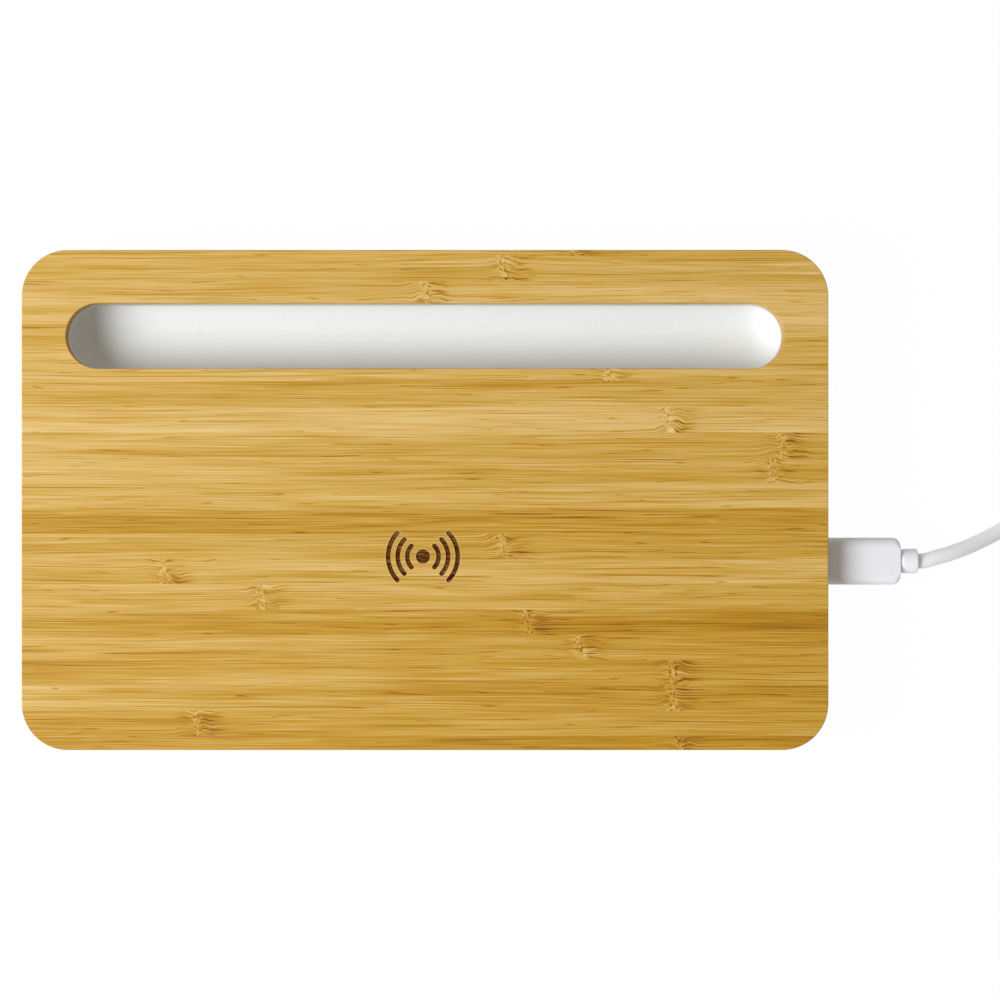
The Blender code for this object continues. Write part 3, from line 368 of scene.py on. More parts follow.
def arc(centre, radius, start, end, steps=6):
    """Points of a round stretch of a profile, from one angle in degrees to another."""
    angles = [math.radians(start + (end - start) * i / steps) for i in range(steps + 1)]
    return [(centre[0] + radius * math.cos(a), centre[1] + radius * math.sin(a)) for a in angles]


# %% Objects, carving and copies
def mesh_object(name, shape):
    """A new object from a shape, which is used up."""
    mesh = bpy.data.meshes.new(name)
    shape.to_mesh(mesh)
    shape.free()
    return in_scene(name, mesh)


def carve(shape, tool, operation="DIFFERENCE"):
    """The shape after a Boolean with a tool. Both are used up."""
    pair = [mesh_object("carving", part) for part in (shape, tool)]
    modifier = pair[0].modifiers.new("carve", "BOOLEAN")
    modifier.operation = operation
    modifier.object = pair[1]
    result = bmesh.new()
    result.from_object(pair[0], bpy.context.evaluated_depsgraph_get())
    for made in pair:
        mesh = made.data
        bpy.data.objects.remove(made)
        bpy.data.meshes.remove(mesh)
    return result


def copies_at(shape, places):
    """One shape that holds a copy of this one at each place."""
    source = shape.verts[:] + shape.edges[:] + shape.faces[:]
    first = shape.verts[:]
    for place in places:
        made = bmesh.ops.duplicate(shape, geom=source)["geom"]
        points = [item for item in made if isinstance(item, bmesh.types.BMVert)]
        bmesh.ops.translate(shape, verts=points, vec=place)
    bmesh.ops.delete(shape, geom=first, context="VERTS")
    return shape


def rods(radius, low, high, places, steps=32):
    """Upright round rods at several places, in one shape."""
    return copies_at(turned([(0.0, low), (radius, low), (radius, high), (0.0, high)], steps), places)


# %% Pieces of the object
def belongs(piece, body, replaced):
    """Says which body a piece rides on, and hides the nodes that it stands for."""
    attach(piece, body)
    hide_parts(*replaced)
    return piece


def add_piece(name, shape, material, body, replaced, smooth_angle=35):
    """A finished piece of the object, riding on its body in place of its nodes."""
    piece = mesh_object(name, shape)
    mesh = piece.data
    mesh.materials.append(material)
    mesh.shade_smooth()
    mesh.set_sharp_from_angle(angle=math.radians(smooth_angle))
    even = piece.modifiers.new("even_shading", "WEIGHTED_NORMAL")
    even.keep_sharp = True
    print(f"{name}: {len(mesh.polygons)} faces")
    return belongs(piece, body, replaced)


# %% [markdown]
# ## The cable
# It is a round PVC-jacketed cable of 3.8 mm, one metre long, as such a station comes with. The
# photograph shows its first centimetres, which leave the strain relief and curve back. The rest is
# put away: it comes down to the desk and winds into a neat coil of two layers, outside the
# view, and ends in a USB-A plug. One Bezier curve with automatic handles runs through all of it.
# The free stretch is a given list of points, and the coil's points come from its rule.

# %% Places on the cable's way
cable_diameter = 3.8 * mm
relief_low, relief_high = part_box("usb_c_strain_relief")
plug_y = (relief_low.y + relief_high.y) / 2
plug_z = (relief_low.z + relief_high.z) / 2
seat_gap = 0.3 * mm
cable_exit = Vector((relief_high.x + seat_gap, plug_y, plug_z))
cable_inside_relief = 1.5 * mm

run_places_mm = (
    (2.0, 0.15, 0.0),
    (4.4, 0.85, -0.1),
    (7.2, 1.6, -0.45),
    (11.0, 2.8, -1.3),
    (15.8, 4.7, -2.7),
    (21.5, 7.4, -4.4),
    (28.0, 11.0, -5.8),
    (35.0, 14.4, -6.2),
    (42.0, 16.4, -5.9),
)
tail_places_mm = (
    (84.5, 52.9, -1.4),
    (85.5, 57.8, -2.65),
    (86.7, 62.7, -3.85),
)
far_plug_offset = Vector((88.0 * mm, 67.6 * mm, 0.0))
far_plug_height = 3.8 * mm
far_plug_heading = math.radians(75)

coil_centre = cable_exit + Vector((55.3 * mm, 44.7 * mm, 0.0))
coil_inner_radius = 13.4 * mm
coil_pitch = 4.3 * mm
coil_turns_per_layer = 3.375
coil_start_angle = math.radians(-90)
coil_points_per_turn = 24
coil_lower_z = 2.8 * mm
print(f"cable leaves at x {cable_exit.x / mm:.1f}, y {cable_exit.y / mm:.1f}, z {cable_exit.z / mm:.1f} mm")


# %% The coil's points
def coil_points():
    """A lower layer that winds in, a half turn that climbs, and an upper layer that winds out."""
    rate = coil_pitch / (2 * math.pi)
    layer_angle = 2 * math.pi * coil_turns_per_layer
    whole_angle = 2 * layer_angle + math.pi
    count = round(whole_angle / (2 * math.pi) * coil_points_per_turn)
    points = []
    for step in range(count + 1):
        angle = whole_angle * step / count
        past_layer = angle - layer_angle
        if past_layer < 0:
            radius, climb = coil_inner_radius - rate * past_layer, 0.0
        elif past_layer < math.pi:
            radius = coil_inner_radius - rate * math.sin(past_layer)
            share = past_layer / math.pi
            climb = share * share * (3 - 2 * share)
        else:
            radius, climb = coil_inner_radius + rate * (past_layer - math.pi), 1.0
        direction = coil_start_angle + angle
        across = Vector((math.cos(direction), math.sin(direction), 0.0)) * radius
        points.append(Vector((coil_centre.x, coil_centre.y, coil_lower_z + climb * coil_pitch)) + across)
    return points


# %% The whole route
far_plug_at = Vector((cable_exit.x, cable_exit.y, far_plug_height)) + far_plug_offset
heading = Vector((math.cos(far_plug_heading), math.sin(far_plug_heading), 0.0))
coil = coil_points()
route = [cable_exit - Vector((cable_inside_relief, 0.0, 0.0)), cable_exit]
route += [cable_exit + Vector(place) * mm for place in run_places_mm]
route += [coil[0] + (coil[0] - coil[1]).normalized() * cable_diameter, *coil]
route += [coil[-1] + (coil[-1] - coil[-2]).normalized() * cable_diameter]
route += [cable_exit + Vector(place) * mm for place in tail_places_mm]
route += [far_plug_at - heading * cable_diameter, far_plug_at, far_plug_at + heading * cable_inside_relief]
print("points on the cable's route:", len(route))


# %% The cable as one curve
def add_cable():
    curve = bpy.data.curves.new("charging_cord", "CURVE")
    curve.dimensions = "3D"
    curve.resolution_u = 4
    curve.bevel_depth = cable_diameter / 2
    curve.bevel_resolution = 6
    curve.use_fill_caps = True
    spline = curve.splines.new("BEZIER")
    spline.bezier_points.add(len(route) - 1)
    for knot, point in zip(spline.bezier_points, route):
        knot.co = point
        knot.handle_left_type = "AUTO"
        knot.handle_right_type = "AUTO"
    curve.materials.append(jacket_white)
    cable_nodes = ["cable_run", "cable_coil", "cable_tail"]
    return belongs(in_scene("charging_cord", curve), "charging_cable", cable_nodes)


cable = add_cable()

# %% [markdown]
# ## The USB-C plug
# The overmould is a block of elastomer, nearly sharp at its front, where the mould parts. Its back
# has wide corners as seen from above, but only a small round over its top and bottom, so the back is
# drawn in section by section, by a different amount across and up. A short barrel behind it takes
# the bend of the cable. The plug's shell is a flat tube drawn from sheet steel, which shows when
# the plug is pulled out.

# %% Sizes of the USB-C plug
overmould_side_radius = 2.6 * mm
overmould_back_corner = 1.7 * mm
overmould_back_ease = 0.18 * mm
overmould_front_ease = 0.4 * mm
sheet_wall = 0.3 * mm
relief_end_round = 0.4 * mm
collar_ease = 0.1 * mm
# For each ring of the relief's collar: how far back it lies, and how much slimmer it is
collar_rings = ((0.0, 0.4 * mm), (0.5 * mm, 0.2 * mm), (1.2 * mm, 0.1 * mm))
print(f"strain relief {(relief_high.x - relief_low.x) / mm:.1f} mm long")


# %% A tube of sheet metal
def flat_tube(low, high, axis, radius, wall, lip=0.08 * mm):
    """An open tube of sheet metal with rounded corners and slightly eased ends."""
    reach = Vector([overrun if i == axis else -wall for i in range(3)])
    outer = rounded_bar(low, high, axis, radius)
    inner = rounded_bar(low - reach, high + reach, axis, max(radius - wall, wall / 3))
    shape = carve(outer, inner)
    rims = [e for end in (low, high) for e in edges_at(shape, axis, end[axis])]
    bevel(shape, rims, lip, 2)
    return shape


# %% The overmould's back, drawn in
def draw_in_back(shape, middle, half_size, end_x, steps=14):
    """Adds sections behind a shape's back face, which follow one round across and one upward."""
    face = max(shape.faces, key=lambda candidate: candidate.calc_center_median().x)
    rounds = (overmould_back_corner, overmould_back_ease)
    size_before = half_size
    for step in range(1, steps + 1):
        x = end_x - overmould_back_corner * (1 - math.sin(math.pi / 2 * step / steps))
        starts = [max(0.0, x - end_x + radius) for radius in rounds]
        size = [
            half - radius + math.sqrt(radius**2 - start**2)
            for half, radius, start in zip(half_size, rounds, starts)
        ]
        face = bmesh.ops.extrude_discrete_faces(shape, faces=[face])["faces"][0]
        for corner in face.verts:
            across = (corner.co.y - middle.y) * size[0] / size_before[0]
            up = (corner.co.z - middle.z) * size[1] / size_before[1]
            corner.co = (x, middle.y + across, middle.z + up)
        size_before = size


# %% The USB-C plug
def add_usb_c_plug():
    low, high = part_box("usb_c_plug_overmold")
    shell_low, shell_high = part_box("usb_c_plug_shell")
    straight_end = Vector((high.x - overmould_back_corner, high.y, high.z))
    shape = rounded_bar(low, straight_end, 0, overmould_side_radius, 14)
    draw_in_back(shape, (low + high) / 2, ((high.y - low.y) / 2, (high.z - low.z) / 2), high.x)
    bevel(shape, edges_at(shape, 0, low.x), overmould_front_ease, 4)
    reach = Vector((0.0, fine_gap, fine_gap))
    seat_low = Vector((low.x - overrun, shell_low.y, shell_low.z)) - reach
    seat = rounded_bar(seat_low, shell_high + reach, 0, (shell_high.z - shell_low.z) / 2)
    shape = carve(shape, seat)
    overmould = add_piece(
        "usb_c_overmould", shape, overmould_white, "charging_cable", ["usb_c_plug_overmold"]
    )
    shell = flat_tube(shell_low, shell_high, 0, (shell_high.z - shell_low.z) / 2, sheet_wall)
    shell = add_piece(
        "usb_c_shell", shell, nickel_plate, "charging_cable", ["usb_c_plug_shell"]
    )
    return overmould, shell


# %% Its strain relief
def add_usb_c_relief():
    """A collar that widens a little behind the overmould, with a rounded end round the cable."""
    reach = relief_high.x - relief_low.x + seat_gap
    radius = (relief_high.z - relief_low.z) / 2
    profile = [(0.0, 0.0)] + [(radius - slimmer, back) for back, slimmer in collar_rings]
    profile += arc((radius - relief_end_round, reach - relief_end_round), relief_end_round, 0, 90)
    profile += [(0.0, reach)]
    shape = moved(turned(profile, 48, axis=(1, 0, 0)), (relief_low.x - seat_gap, plug_y, plug_z))
    bevel(shape, sharp_edges(shape, 30), collar_ease, 2)
    return add_piece(
        "usb_c_relief", shape, overmould_white, "charging_cable", ["usb_c_strain_relief"]
    )


usb_c_pieces = [*add_usb_c_plug(), add_usb_c_relief()]

# %% [markdown]
# ## The USB-A plug and the tie
# The far plug lies on the desk at an angle. It is modelled along X around zero, where its numbers
# are simple, and then turned and moved into place, so that the finished mesh is in the object's own
# frame. Its steel shell has the two square windows that a socket's springs catch in.

# %% Sizes of the USB-A plug
usb_a_body_start = 6.6 * mm
usb_a_body_length = 20.0 * mm
usb_a_body_width = 15.8 * mm
usb_a_side_radius = 2.4 * mm
usb_a_end_round = 1.2 * mm
usb_a_grip_depth = 0.35 * mm
usb_a_grip_count = 5
usb_a_grip_pitch = 2.2 * mm
usb_a_shell_width = 12.0 * mm
usb_a_shell_height = 4.5 * mm
usb_a_shell_start = 23.6 * mm
usb_a_shell_end = 38.6 * mm
usb_a_window_side = 2.2 * mm
usb_a_window_from_tip = 5.0 * mm
usb_a_window_pitch = 5.6 * mm
usb_a_relief_radius = 2.4 * mm
usb_a_relief_root_radius = 3.3 * mm
usb_a_relief_round = 0.5 * mm
usb_a_tongue_width = 10.8 * mm
usb_a_tongue_bottom = -1.65 * mm
usb_a_tongue_top = 0.15 * mm
usb_a_tongue_from_tip = 0.8 * mm
usb_a_tongue_round = 0.1 * mm
usb_a_tongue_nose = 0.25 * mm
usb_a_contact_size = Vector((6.4, 1.0, 0.25)) * mm
usb_a_contact_round = 0.12 * mm
usb_a_contact_from_tip = 1.6 * mm
usb_a_contact_pitch = 2.3 * mm
print(f"USB-A plug {usb_a_shell_end / mm:.1f} mm long")


# %% The USB-A plug's parts around zero
def place_far_plug(shape):
    """Turns a shape made around zero along X to the far plug's heading and place."""
    turn = Matrix.Rotation(far_plug_heading, 4, "Z")
    bmesh.ops.transform(shape, matrix=Matrix.Translation(far_plug_at) @ turn, verts=shape.verts)
    return shape


def usb_a_overmould():
    half_width, half_height = usb_a_body_width / 2, far_plug_height
    low = Vector((usb_a_body_start, -half_width, -half_height))
    high = Vector((usb_a_body_start + usb_a_body_length, half_width, half_height))
    shape = rounded_bar(low, high, 0, usb_a_side_radius, 12)
    bevel(shape, edges_at(shape, 0, low.x), usb_a_end_round, 8)
    bevel(shape, edges_at(shape, 0, high.x), usb_a_end_round / 2, 4)
    middle = (low.x + high.x) / 2 - usb_a_grip_pitch
    grooves = []
    for number in range(usb_a_grip_count):
        x = middle + (number - (usb_a_grip_count - 1) / 2) * usb_a_grip_pitch
        grooves += [(x, -half_width, 0.0), (x, half_width, 0.0)]
    reach = Vector((usb_a_grip_pitch / 4, usb_a_grip_depth, half_height / 2))
    groove = rounded_bar(-reach, reach, 2, usb_a_grip_depth / 2, 4)
    return carve(shape, copies_at(groove, grooves))


def usb_a_shell():
    half = Vector((0.0, usb_a_shell_width / 2, usb_a_shell_height / 2))
    start, end = Vector((usb_a_shell_start, 0.0, 0.0)), Vector((usb_a_shell_end, 0.0, 0.0))
    shape = flat_tube(start - half, end + half, 0, 2 * sheet_wall, sheet_wall)
    side = usb_a_window_side / 2
    window = rounded_bar((-side, -side, 0.0), (side, side, usb_a_shell_height), 2, side / 4, 4)
    x = usb_a_shell_end - usb_a_window_from_tip
    places = [(x, s * usb_a_window_pitch / 2, z) for s in (-1, 1) for z in (0.0, -usb_a_shell_height)]
    return carve(shape, copies_at(window, places))


def usb_a_relief():
    tip = (usb_a_relief_radius - usb_a_relief_round, usb_a_relief_round)
    profile = [(0.0, 0.0), *arc(tip, usb_a_relief_round, -90, 0, 4)]
    profile += [(usb_a_relief_root_radius, usb_a_body_start), (0.0, usb_a_body_start)]
    return turned(profile, 48, axis=(1, 0, 0))


# %% The USB-A plug, turned into place
def add_usb_a_plug():
    half_width = usb_a_tongue_width / 2
    tongue_low = Vector((usb_a_shell_start, -half_width, usb_a_tongue_bottom))
    tongue_high = Vector((usb_a_shell_end - usb_a_tongue_from_tip, half_width, usb_a_tongue_top))
    tongue = rounded_bar(tongue_low, tongue_high, 0, usb_a_tongue_round, 2)
    bevel(tongue, edges_at(tongue, 0, tongue_high.x), usb_a_tongue_nose, 3)
    shapes = [
        ("usb_a_overmould", usb_a_overmould(), overmould_white, "white_pvc", "usb_a_plug_overmold"),
        ("usb_a_steel_shell", usb_a_shell(), nickel_plate, "nickel_plated_steel", "usb_a_shell"),
        ("usb_a_relief", usb_a_relief(), overmould_white, "white_pvc", "usb_a_strain_relief"),
        ("usb_a_insulator", tongue, nylon_black, "black_nylon", "usb_a_tongue"),
    ]
    length, width, height = usb_a_contact_size
    contact_x = usb_a_shell_end - usb_a_contact_from_tip - length / 2
    for number in range(1, 5):
        contact_low, contact_high = (-length / 2, -width / 2, 0.0), (length / 2, width / 2, height)
        contact = rounded_bar(contact_low, contact_high, 1, usb_a_contact_round, 3)
        y = (number - 2.5) * usb_a_contact_pitch
        contact = moved(contact, (contact_x, y, usb_a_tongue_top))
        row = (contact, nickel_plate, "nickel_plated_steel", f"usb_a_contact_{number}")
        shapes.append((f"usb_a_blade_{number}", *row))
    return [
        add_piece(name, place_far_plug(shape), material, "charging_cable", [node_name])
        for name, shape, material, slot, node_name in shapes
    ]


usb_a_pieces = add_usb_a_plug()

# %% [markdown]
# The tie is a strip of hook-and-loop tape that goes round all the turns at one place, with the end
# of the strip lying on top of its own start. Woven polyester tape shows as rows of small loops, so
# its material is a fine weave made of two crossed waves.

# %% The woven tape
loop_pitch = 0.6 * mm


def woven_tape():
    """Woven polyester hook-and-loop tape: matt, with rows of loops every 0.6 mm."""
    material, add, shader = new_material("woven_white_tape", 0.9)
    place = add("TexCoord").outputs["Object"]
    waves = {"Vector": place, "Scale": 1 / (math.pi * loop_pitch), "Distortion": 1.5, "Detail": 1.0}
    rows = [add("TexWave", waves, bands_direction=direction) for direction in ("X", "DIAGONAL")]
    across, along = (row.outputs["Fac"] for row in rows)
    weave = add("Math", across, along, operation="MULTIPLY")
    tint = add("ValToRGB", weave)
    set_tones(tint, [(0.0, "#c9c9c4"), (1.0, "#ecece8")])
    lift = add("Bump", {"Height": weave, "Strength": 0.6, "Distance": 0.15 * mm})
    fill(shader, {"Base Color": tint, "Normal": lift})
    return material


def add_tie():
    low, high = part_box("cable_tie")
    thickness, inner_round, edge_ease = 0.6 * mm, 1.6 * mm, 0.2 * mm
    shape = flat_tube(low, high, 0, inner_round + thickness, thickness, edge_ease)
    return add_piece("coil_tie", shape, woven_tape(), "charging_cable", ["cable_tie"])


tie = add_tie()

# %% [markdown]
# ## The bamboo
# Bamboo board is glued up from strips of the culm's wall, planed and varnished. Four things make it
# look like bamboo and not like wood. Each strip has a tone of its own, which drifts a little along
# it; on the whole the strips are paler towards their left ends, and that part of the drift is painted
# light from the lamp's side. Its fibres are thin straight lines that thicken and fade, never rings.
# Each strip crosses a knuckle of the cane here and there, where the lines hump round a pale mottled
# patch. And on the strip's end the fibres show as dots. Everything is worked out in the board's own
# coordinates, so the same cloud of fibres is cut lengthways on the top and crosswise on the ends.

# %% Strips of the board, from its front edge to its back
strip_pitch = 6.27 * mm
strip_front_edge = -64.8 * mm
strip_shift = 237.3 * mm
no_knuckle_share = 1.25

# One row for each strip: how pale its left and right ends are, and its knuckle as a share of the length.
# The paleness is partly the strip's own tone and partly painted light: on the whole the left ends are paler
strip_shares = (
    (0.59, 0.34, 0.82),
    (0.59, 0.51, 0.22),
    (0.81, 0.39, 0.81),
    (0.62, 0.54, 0.81),
    (0.72, 0.46, 0.695),
    (0.64, 0.29, 0.63),
    (0.74, 0.65, 0.30),
    (0.74, 0.88, 0.18),
    (0.70, 0.58, 0.60),
    (0.49, 0.59, no_knuckle_share),
    (0.75, 0.87, no_knuckle_share),
    (0.93, 0.54, 0.935),
    (0.86, 0.69, 0.945),
    (0.96, 0.94, 0.805),
    (0.67, 0.75, no_knuckle_share),
    (0.88, 0.69, 0.73),
    (0.73, 0.80, no_knuckle_share),
    (0.83, 0.95, no_knuckle_share),
    (0.78, 0.84, 0.505),
    (0.70, 0.71, 0.60),
    (0.72, 0.65, 0.685),
)
print("strips:", len(strip_shares))

# The wood's tones from the darkest fibre to the palest, each with its place on the way
bamboo_tones = (
    (0.0, "#7a420c"),
    (0.30, "#a57014"),
    (0.47, "#bb8b1c"),
    (0.61, "#cba041"),
    (0.77, "#ddb86d"),
    (1.0, "#ebce92"),
)

# %% [markdown]
# A colour ramp with constant steps is a handy table inside a material: its place along the ramp is
# the strip's number, its red and blue hold the tones and its green holds the knuckle's place. The
# strip's number also shifts the pattern along the board, so that no fibre runs on into the next.

# %% Where a point is on its strip
def strip_nodes(add, x, y):
    """Sockets for a point's strip: place across it, distance from its knuckle, tone, shifted x."""
    count = len(strip_shares)
    from_edge = add("Math", y, strip_front_edge, operation="SUBTRACT")
    in_strips = add("Math", from_edge, strip_pitch, operation="DIVIDE")
    number = add("Math", in_strips, operation="FLOOR")
    across = add("Math", in_strips, operation="FRACT")
    middle = add("Math", number, 0.5, operation="ADD")
    share = add("Math", middle, count, operation="DIVIDE")
    table = add("ValToRGB", share)
    table.color_ramp.interpolation = "CONSTANT"
    stops = table.color_ramp.elements
    for index, (left, right, knuckle) in enumerate(strip_shares):
        stop = stops[index] if index < 1 else stops.new(index / count)
        stop.position = index / count
        stop.color = (left, knuckle / no_knuckle_share, right, 1.0)
    # A new ramp comes with a stop at its end, which the table doesn't need
    stops.remove(stops[len(stops) - 1])
    left, knuckle, right = add("SeparateColor", table).outputs
    # The tone runs from the left end's to the right end's: the strip's own drift, plus painted light paler
    # on the left
    tone = add("MapRange", x, plate_low.x, plate_high.x, left, right)
    reach = no_knuckle_share * plate_length
    knuckle_x = add("Math", knuckle, reach, plate_low.x, operation="MULTIPLY_ADD")
    from_knuckle = add("Math", x, knuckle_x, operation="SUBTRACT")
    shifted_x = add("Math", number, strip_shift, x, operation="MULTIPLY_ADD")
    return across, from_knuckle, tone, shifted_x


# %% [markdown]
# A few small recipes serve all the patterns. A bell curve is one at a place and fades to nothing
# over a reach. A noise drawn out along X looks like fibres of a real length and width. Separate
# fibres are such a noise between two of its levels, with a soft step from none to full. The grain is
# then a sum: each pattern, times the share that it has in the tone.

# %% Bells, fibres and sums
def bell(add, distance, reach):
    """A socket that is one where the distance is zero and fades over the reach."""
    share = add("Math", distance, reach, operation="DIVIDE")
    square = add("Math", share, share, operation="MULTIPLY")
    negative = add("Math", square, -1.0, operation="MULTIPLY")
    return add("Math", negative, operation="EXPONENT")


def fibre_noise(add, place, length, width):
    """A noise drawn out along the fibres to a real length and width."""
    scaled = add("Mapping", {"Vector": place, "Scale": Vector((1 / length, 1 / width, 1 / width))})
    return add("TexNoise", {"Vector": scaled, "Scale": 1.0, "Detail": 1.0})


def separate_fibres(add, place, length, width, none, full):
    """Fibres with plain wood between them, which come up between two levels of their noise."""
    noise = fibre_noise(add, place, length, width)
    return add("MapRange", noise, none, full, interpolation_type="SMOOTHSTEP")


def summed(add, start, parts):
    """A value plus each part times its share."""
    total = start
    for part, share in parts:
        total = add("Math", part, share, total, operation="MULTIPLY_ADD")
    return total


# %% [markdown]
# A knuckle crosses its strip at a slant. Near it the fibres bow aside: the bell curve pushes the
# pattern's Y coordinate, with a small noise on top, and everything drawn from it bends along. At the
# knuckle itself the pattern also jumps along X, because the fibres end there and others begin.

# %% The knuckle and the bent coordinates
# A knuckle's lean across its strip, and how far its core, its swelling and its shade reach along it
knuckle_slant = 1.3 * mm
knuckle_core = 1.7 * mm
knuckle_swell = 4.2 * mm
knuckle_shade = 4.2 * mm
# Where the shade's middle lies, where the fibres break off and how far the pattern jumps there
knuckle_shade_place = 1.8 * mm
knuckle_break = (-1.6 * mm, 1.6 * mm)
knuckle_jump = 17.0 * mm
# How far fibres are pushed aside at a knuckle, and how far they drift all over the board
wobble_range = (-1.9 * mm, 2.7 * mm)
wobbles_per_metre = 0.2 / mm
drift_size = (60.0 * mm, 9.0 * mm)
drift_reach = 1.5 * mm
print(f"a knuckle's fibres swell {wobble_range[1] / mm:.1f} mm aside at most")


def bent_place(add, place, x, y, z, swell):
    """The point with its Y pushed aside near a knuckle."""
    tangle = add("TexNoise", {"Vector": place, "Scale": wobbles_per_metre, "Detail": 1.0})
    wobble = add("MapRange", tangle, 0.0, 1.0, *wobble_range)
    drift = fibre_noise(add, place, *drift_size)
    drifting_y = add("Math", drift, drift_reach, y, operation="MULTIPLY_ADD")
    push = add("Math", swell, wobble, operation="MULTIPLY")
    bent_y = add("Math", drifting_y, push, operation="SUBTRACT")
    return add("CombineXYZ", x, bent_y, z)


# %% The lines in the grain
# They follow the level curves of a slow noise, folded to and fro so that each level is a line
contour_size = (80.0 * mm, 1.3 * mm)
contour_folds = 8.0
fading_size = (50.0 * mm, 0.7 * mm)
# For the dark and for the pale lines: levels of the folded noise, and of the one that fades them
line_levels = (
    ((0.1, 0.0), (0.42, 0.62)),
    ((0.38, 0.5), (0.5, 0.35)),
)


def thin_lines(add, place):
    """Sockets for the dark and the pale lines."""
    contours = fibre_noise(add, place, *contour_size)
    levels = add("Math", contours, contour_folds, operation="MULTIPLY")
    folded = add("Math", levels, 0.5, operation="PINGPONG")
    fading = fibre_noise(add, place, *fading_size)
    both = []
    for drawn_levels, shown_levels in line_levels:
        drawn = add("MapRange", folded, *drawn_levels, interpolation_type="SMOOTHSTEP")
        shown = add("MapRange", fading, *shown_levels, interpolation_type="SMOOTHSTEP")
        both.append(add("Math", drawn, shown, operation="MULTIPLY"))
    return both


# %% Patterns and their shares
# Length, width and share in the tone of the three layers of soft fibres
fibre_layers = (
    (120.0 * mm, 3.2 * mm, 0.75),
    (50.0 * mm, 0.9 * mm, 0.35),
    (26.0 * mm, 0.2 * mm, 1.5),
)
# Length, width and levels of the separate fibres, and the share in the tone of each pattern
dash_rule = (60.0 * mm, 0.22 * mm, 0.6, 0.74)
dash_share = -0.7
dark_line_share = -0.7
pale_line_share = 0.3
patch_rule = (3.0 * mm, 1.0 * mm, 0.35, 0.65)
patch_share = 0.42
short_fibre_rule = (6.0 * mm, 0.5 * mm, 0.5, 0.72)
short_fibre_share = -0.95
shade_share = -0.12
# How strongly the grain shows in plain wood, and what a knuckle adds beside it and at its core
plain_contrast = 0.92
contrast_beside = 0.8
contrast_at_core = -0.7
tone_range = (-0.6, 1.4)
print("layers of soft fibres:", len(fibre_layers))


# %% The grain
def bamboo_grain(add, place):
    """Sockets for the sum of all the fibres, and for the dark lines among them."""
    parts = []
    for length, width, share in fibre_layers:
        noise = fibre_noise(add, place, length, width)
        parts.append((add("Math", noise, 0.5, operation="SUBTRACT"), share))
    dark, pale = thin_lines(add, place)
    parts.append((separate_fibres(add, place, *dash_rule), dash_share))
    parts += [(dark, dark_line_share), (pale, pale_line_share)]
    return summed(add, 0.0, parts), dark


# %% The bamboo's colour
def bamboo_colour(add, place, x, y, z):
    """Sockets for the colour of the wood and for the dark lines in it."""
    across, from_knuckle, tone, shifted_x = strip_nodes(add, x, y)
    slant = add("Math", across, knuckle_slant, from_knuckle, operation="MULTIPLY_ADD")
    swell = bell(add, slant, knuckle_swell)
    core = bell(add, slant, knuckle_core)
    beside = bell(add, add("Math", slant, -knuckle_shade_place, operation="ADD"), knuckle_shade)
    past = add("MapRange", slant, *knuckle_break, interpolation_type="SMOOTHSTEP")
    broken_x = add("Math", past, knuckle_jump, shifted_x, operation="MULTIPLY_ADD")
    bent = bent_place(add, place, broken_x, y, z, swell)

    grain, dark_lines = bamboo_grain(add, bent)
    contrast = summed(add, plain_contrast, ((beside, contrast_beside), (core, contrast_at_core)))
    patch = add("Math", core, separate_fibres(add, bent, *patch_rule), operation="MULTIPLY")
    short_fibres = separate_fibres(add, bent, *short_fibre_rule)
    short_fibres = add("Math", beside, short_fibres, operation="MULTIPLY")
    at_knuckle = ((short_fibres, short_fibre_share), (beside, shade_share), (patch, patch_share))
    tone = summed(add, tone, ((grain, contrast), *at_knuckle))
    ramp = add("ValToRGB", add("MapRange", tone, *tone_range))
    set_tones(ramp, bamboo_tones)
    return ramp, dark_lines


# %% [markdown]
# ## The burnt sign
# A laser burns the sign in: the charred floor lies 0.3 mm below the plate's top, and the heat
# leaves a thin pale rim. The engraving is carved into the mesh. The char's colour is drawn by
# distance to the strokes: for the arcs that is the distance to the nearest of three rings, and past
# their ends it is the distance beyond a slanted line. The hard fibres burn less, so fine pale lines
# stay in the brown.

# %% Distance to the sign's strokes
dot_radius = 1.74 * mm
first_arc_radius = 3.88 * mm
arc_pitch = 2.37 * mm
arcs_per_side = 3
stroke = 1.12 * mm
half_angle = math.radians(42.5)
last_arc_radius = first_arc_radius + (arcs_per_side - 1) * arc_pitch
print(f"arcs of {first_arc_radius / mm:.1f} to {last_arc_radius / mm:.1f} mm in radius")


def stroke_distance(add, x, y):
    """Sockets for the distance to the nearest stroke's edge, below zero inside it, and to the middle."""
    dx = add("Math", x, sign_x, operation="SUBTRACT")
    dy = add("Math", y, sign_y, operation="SUBTRACT")
    flat = add("CombineXYZ", dx, dy)
    radius = add("VectorMath", flat, operation="LENGTH").outputs["Value"]
    from_dot = add("Math", radius, dot_radius, operation="SUBTRACT")

    in_pitches = add("Math", radius, first_arc_radius, operation="SUBTRACT")
    in_pitches = add("Math", in_pitches, arc_pitch, operation="DIVIDE")
    nearest = add("Math", in_pitches, 0.0, operation="ROUND")
    nearest = add("Clamp", nearest, 0.0, arcs_per_side - 1.0)
    off_ring = add("Math", in_pitches, nearest, operation="SUBTRACT")
    off_ring = add("Math", off_ring, arc_pitch, operation="MULTIPLY")

    side = add("Math", dx, operation="ABSOLUTE")
    height = add("Math", dy, operation="ABSOLUTE")
    side = add("Math", side, -math.sin(half_angle), operation="MULTIPLY")
    past_end = add("Math", height, math.cos(half_angle), side, operation="MULTIPLY_ADD")
    past_end = add("Math", past_end, 0.0, operation="MAXIMUM")
    both = add("CombineXYZ", off_ring, past_end)
    from_arc = add("VectorMath", both, operation="LENGTH").outputs["Value"]
    from_arc = add("Math", from_arc, stroke / 2, operation="SUBTRACT")
    return add("Math", from_arc, from_dot, operation="MINIMUM"), dy


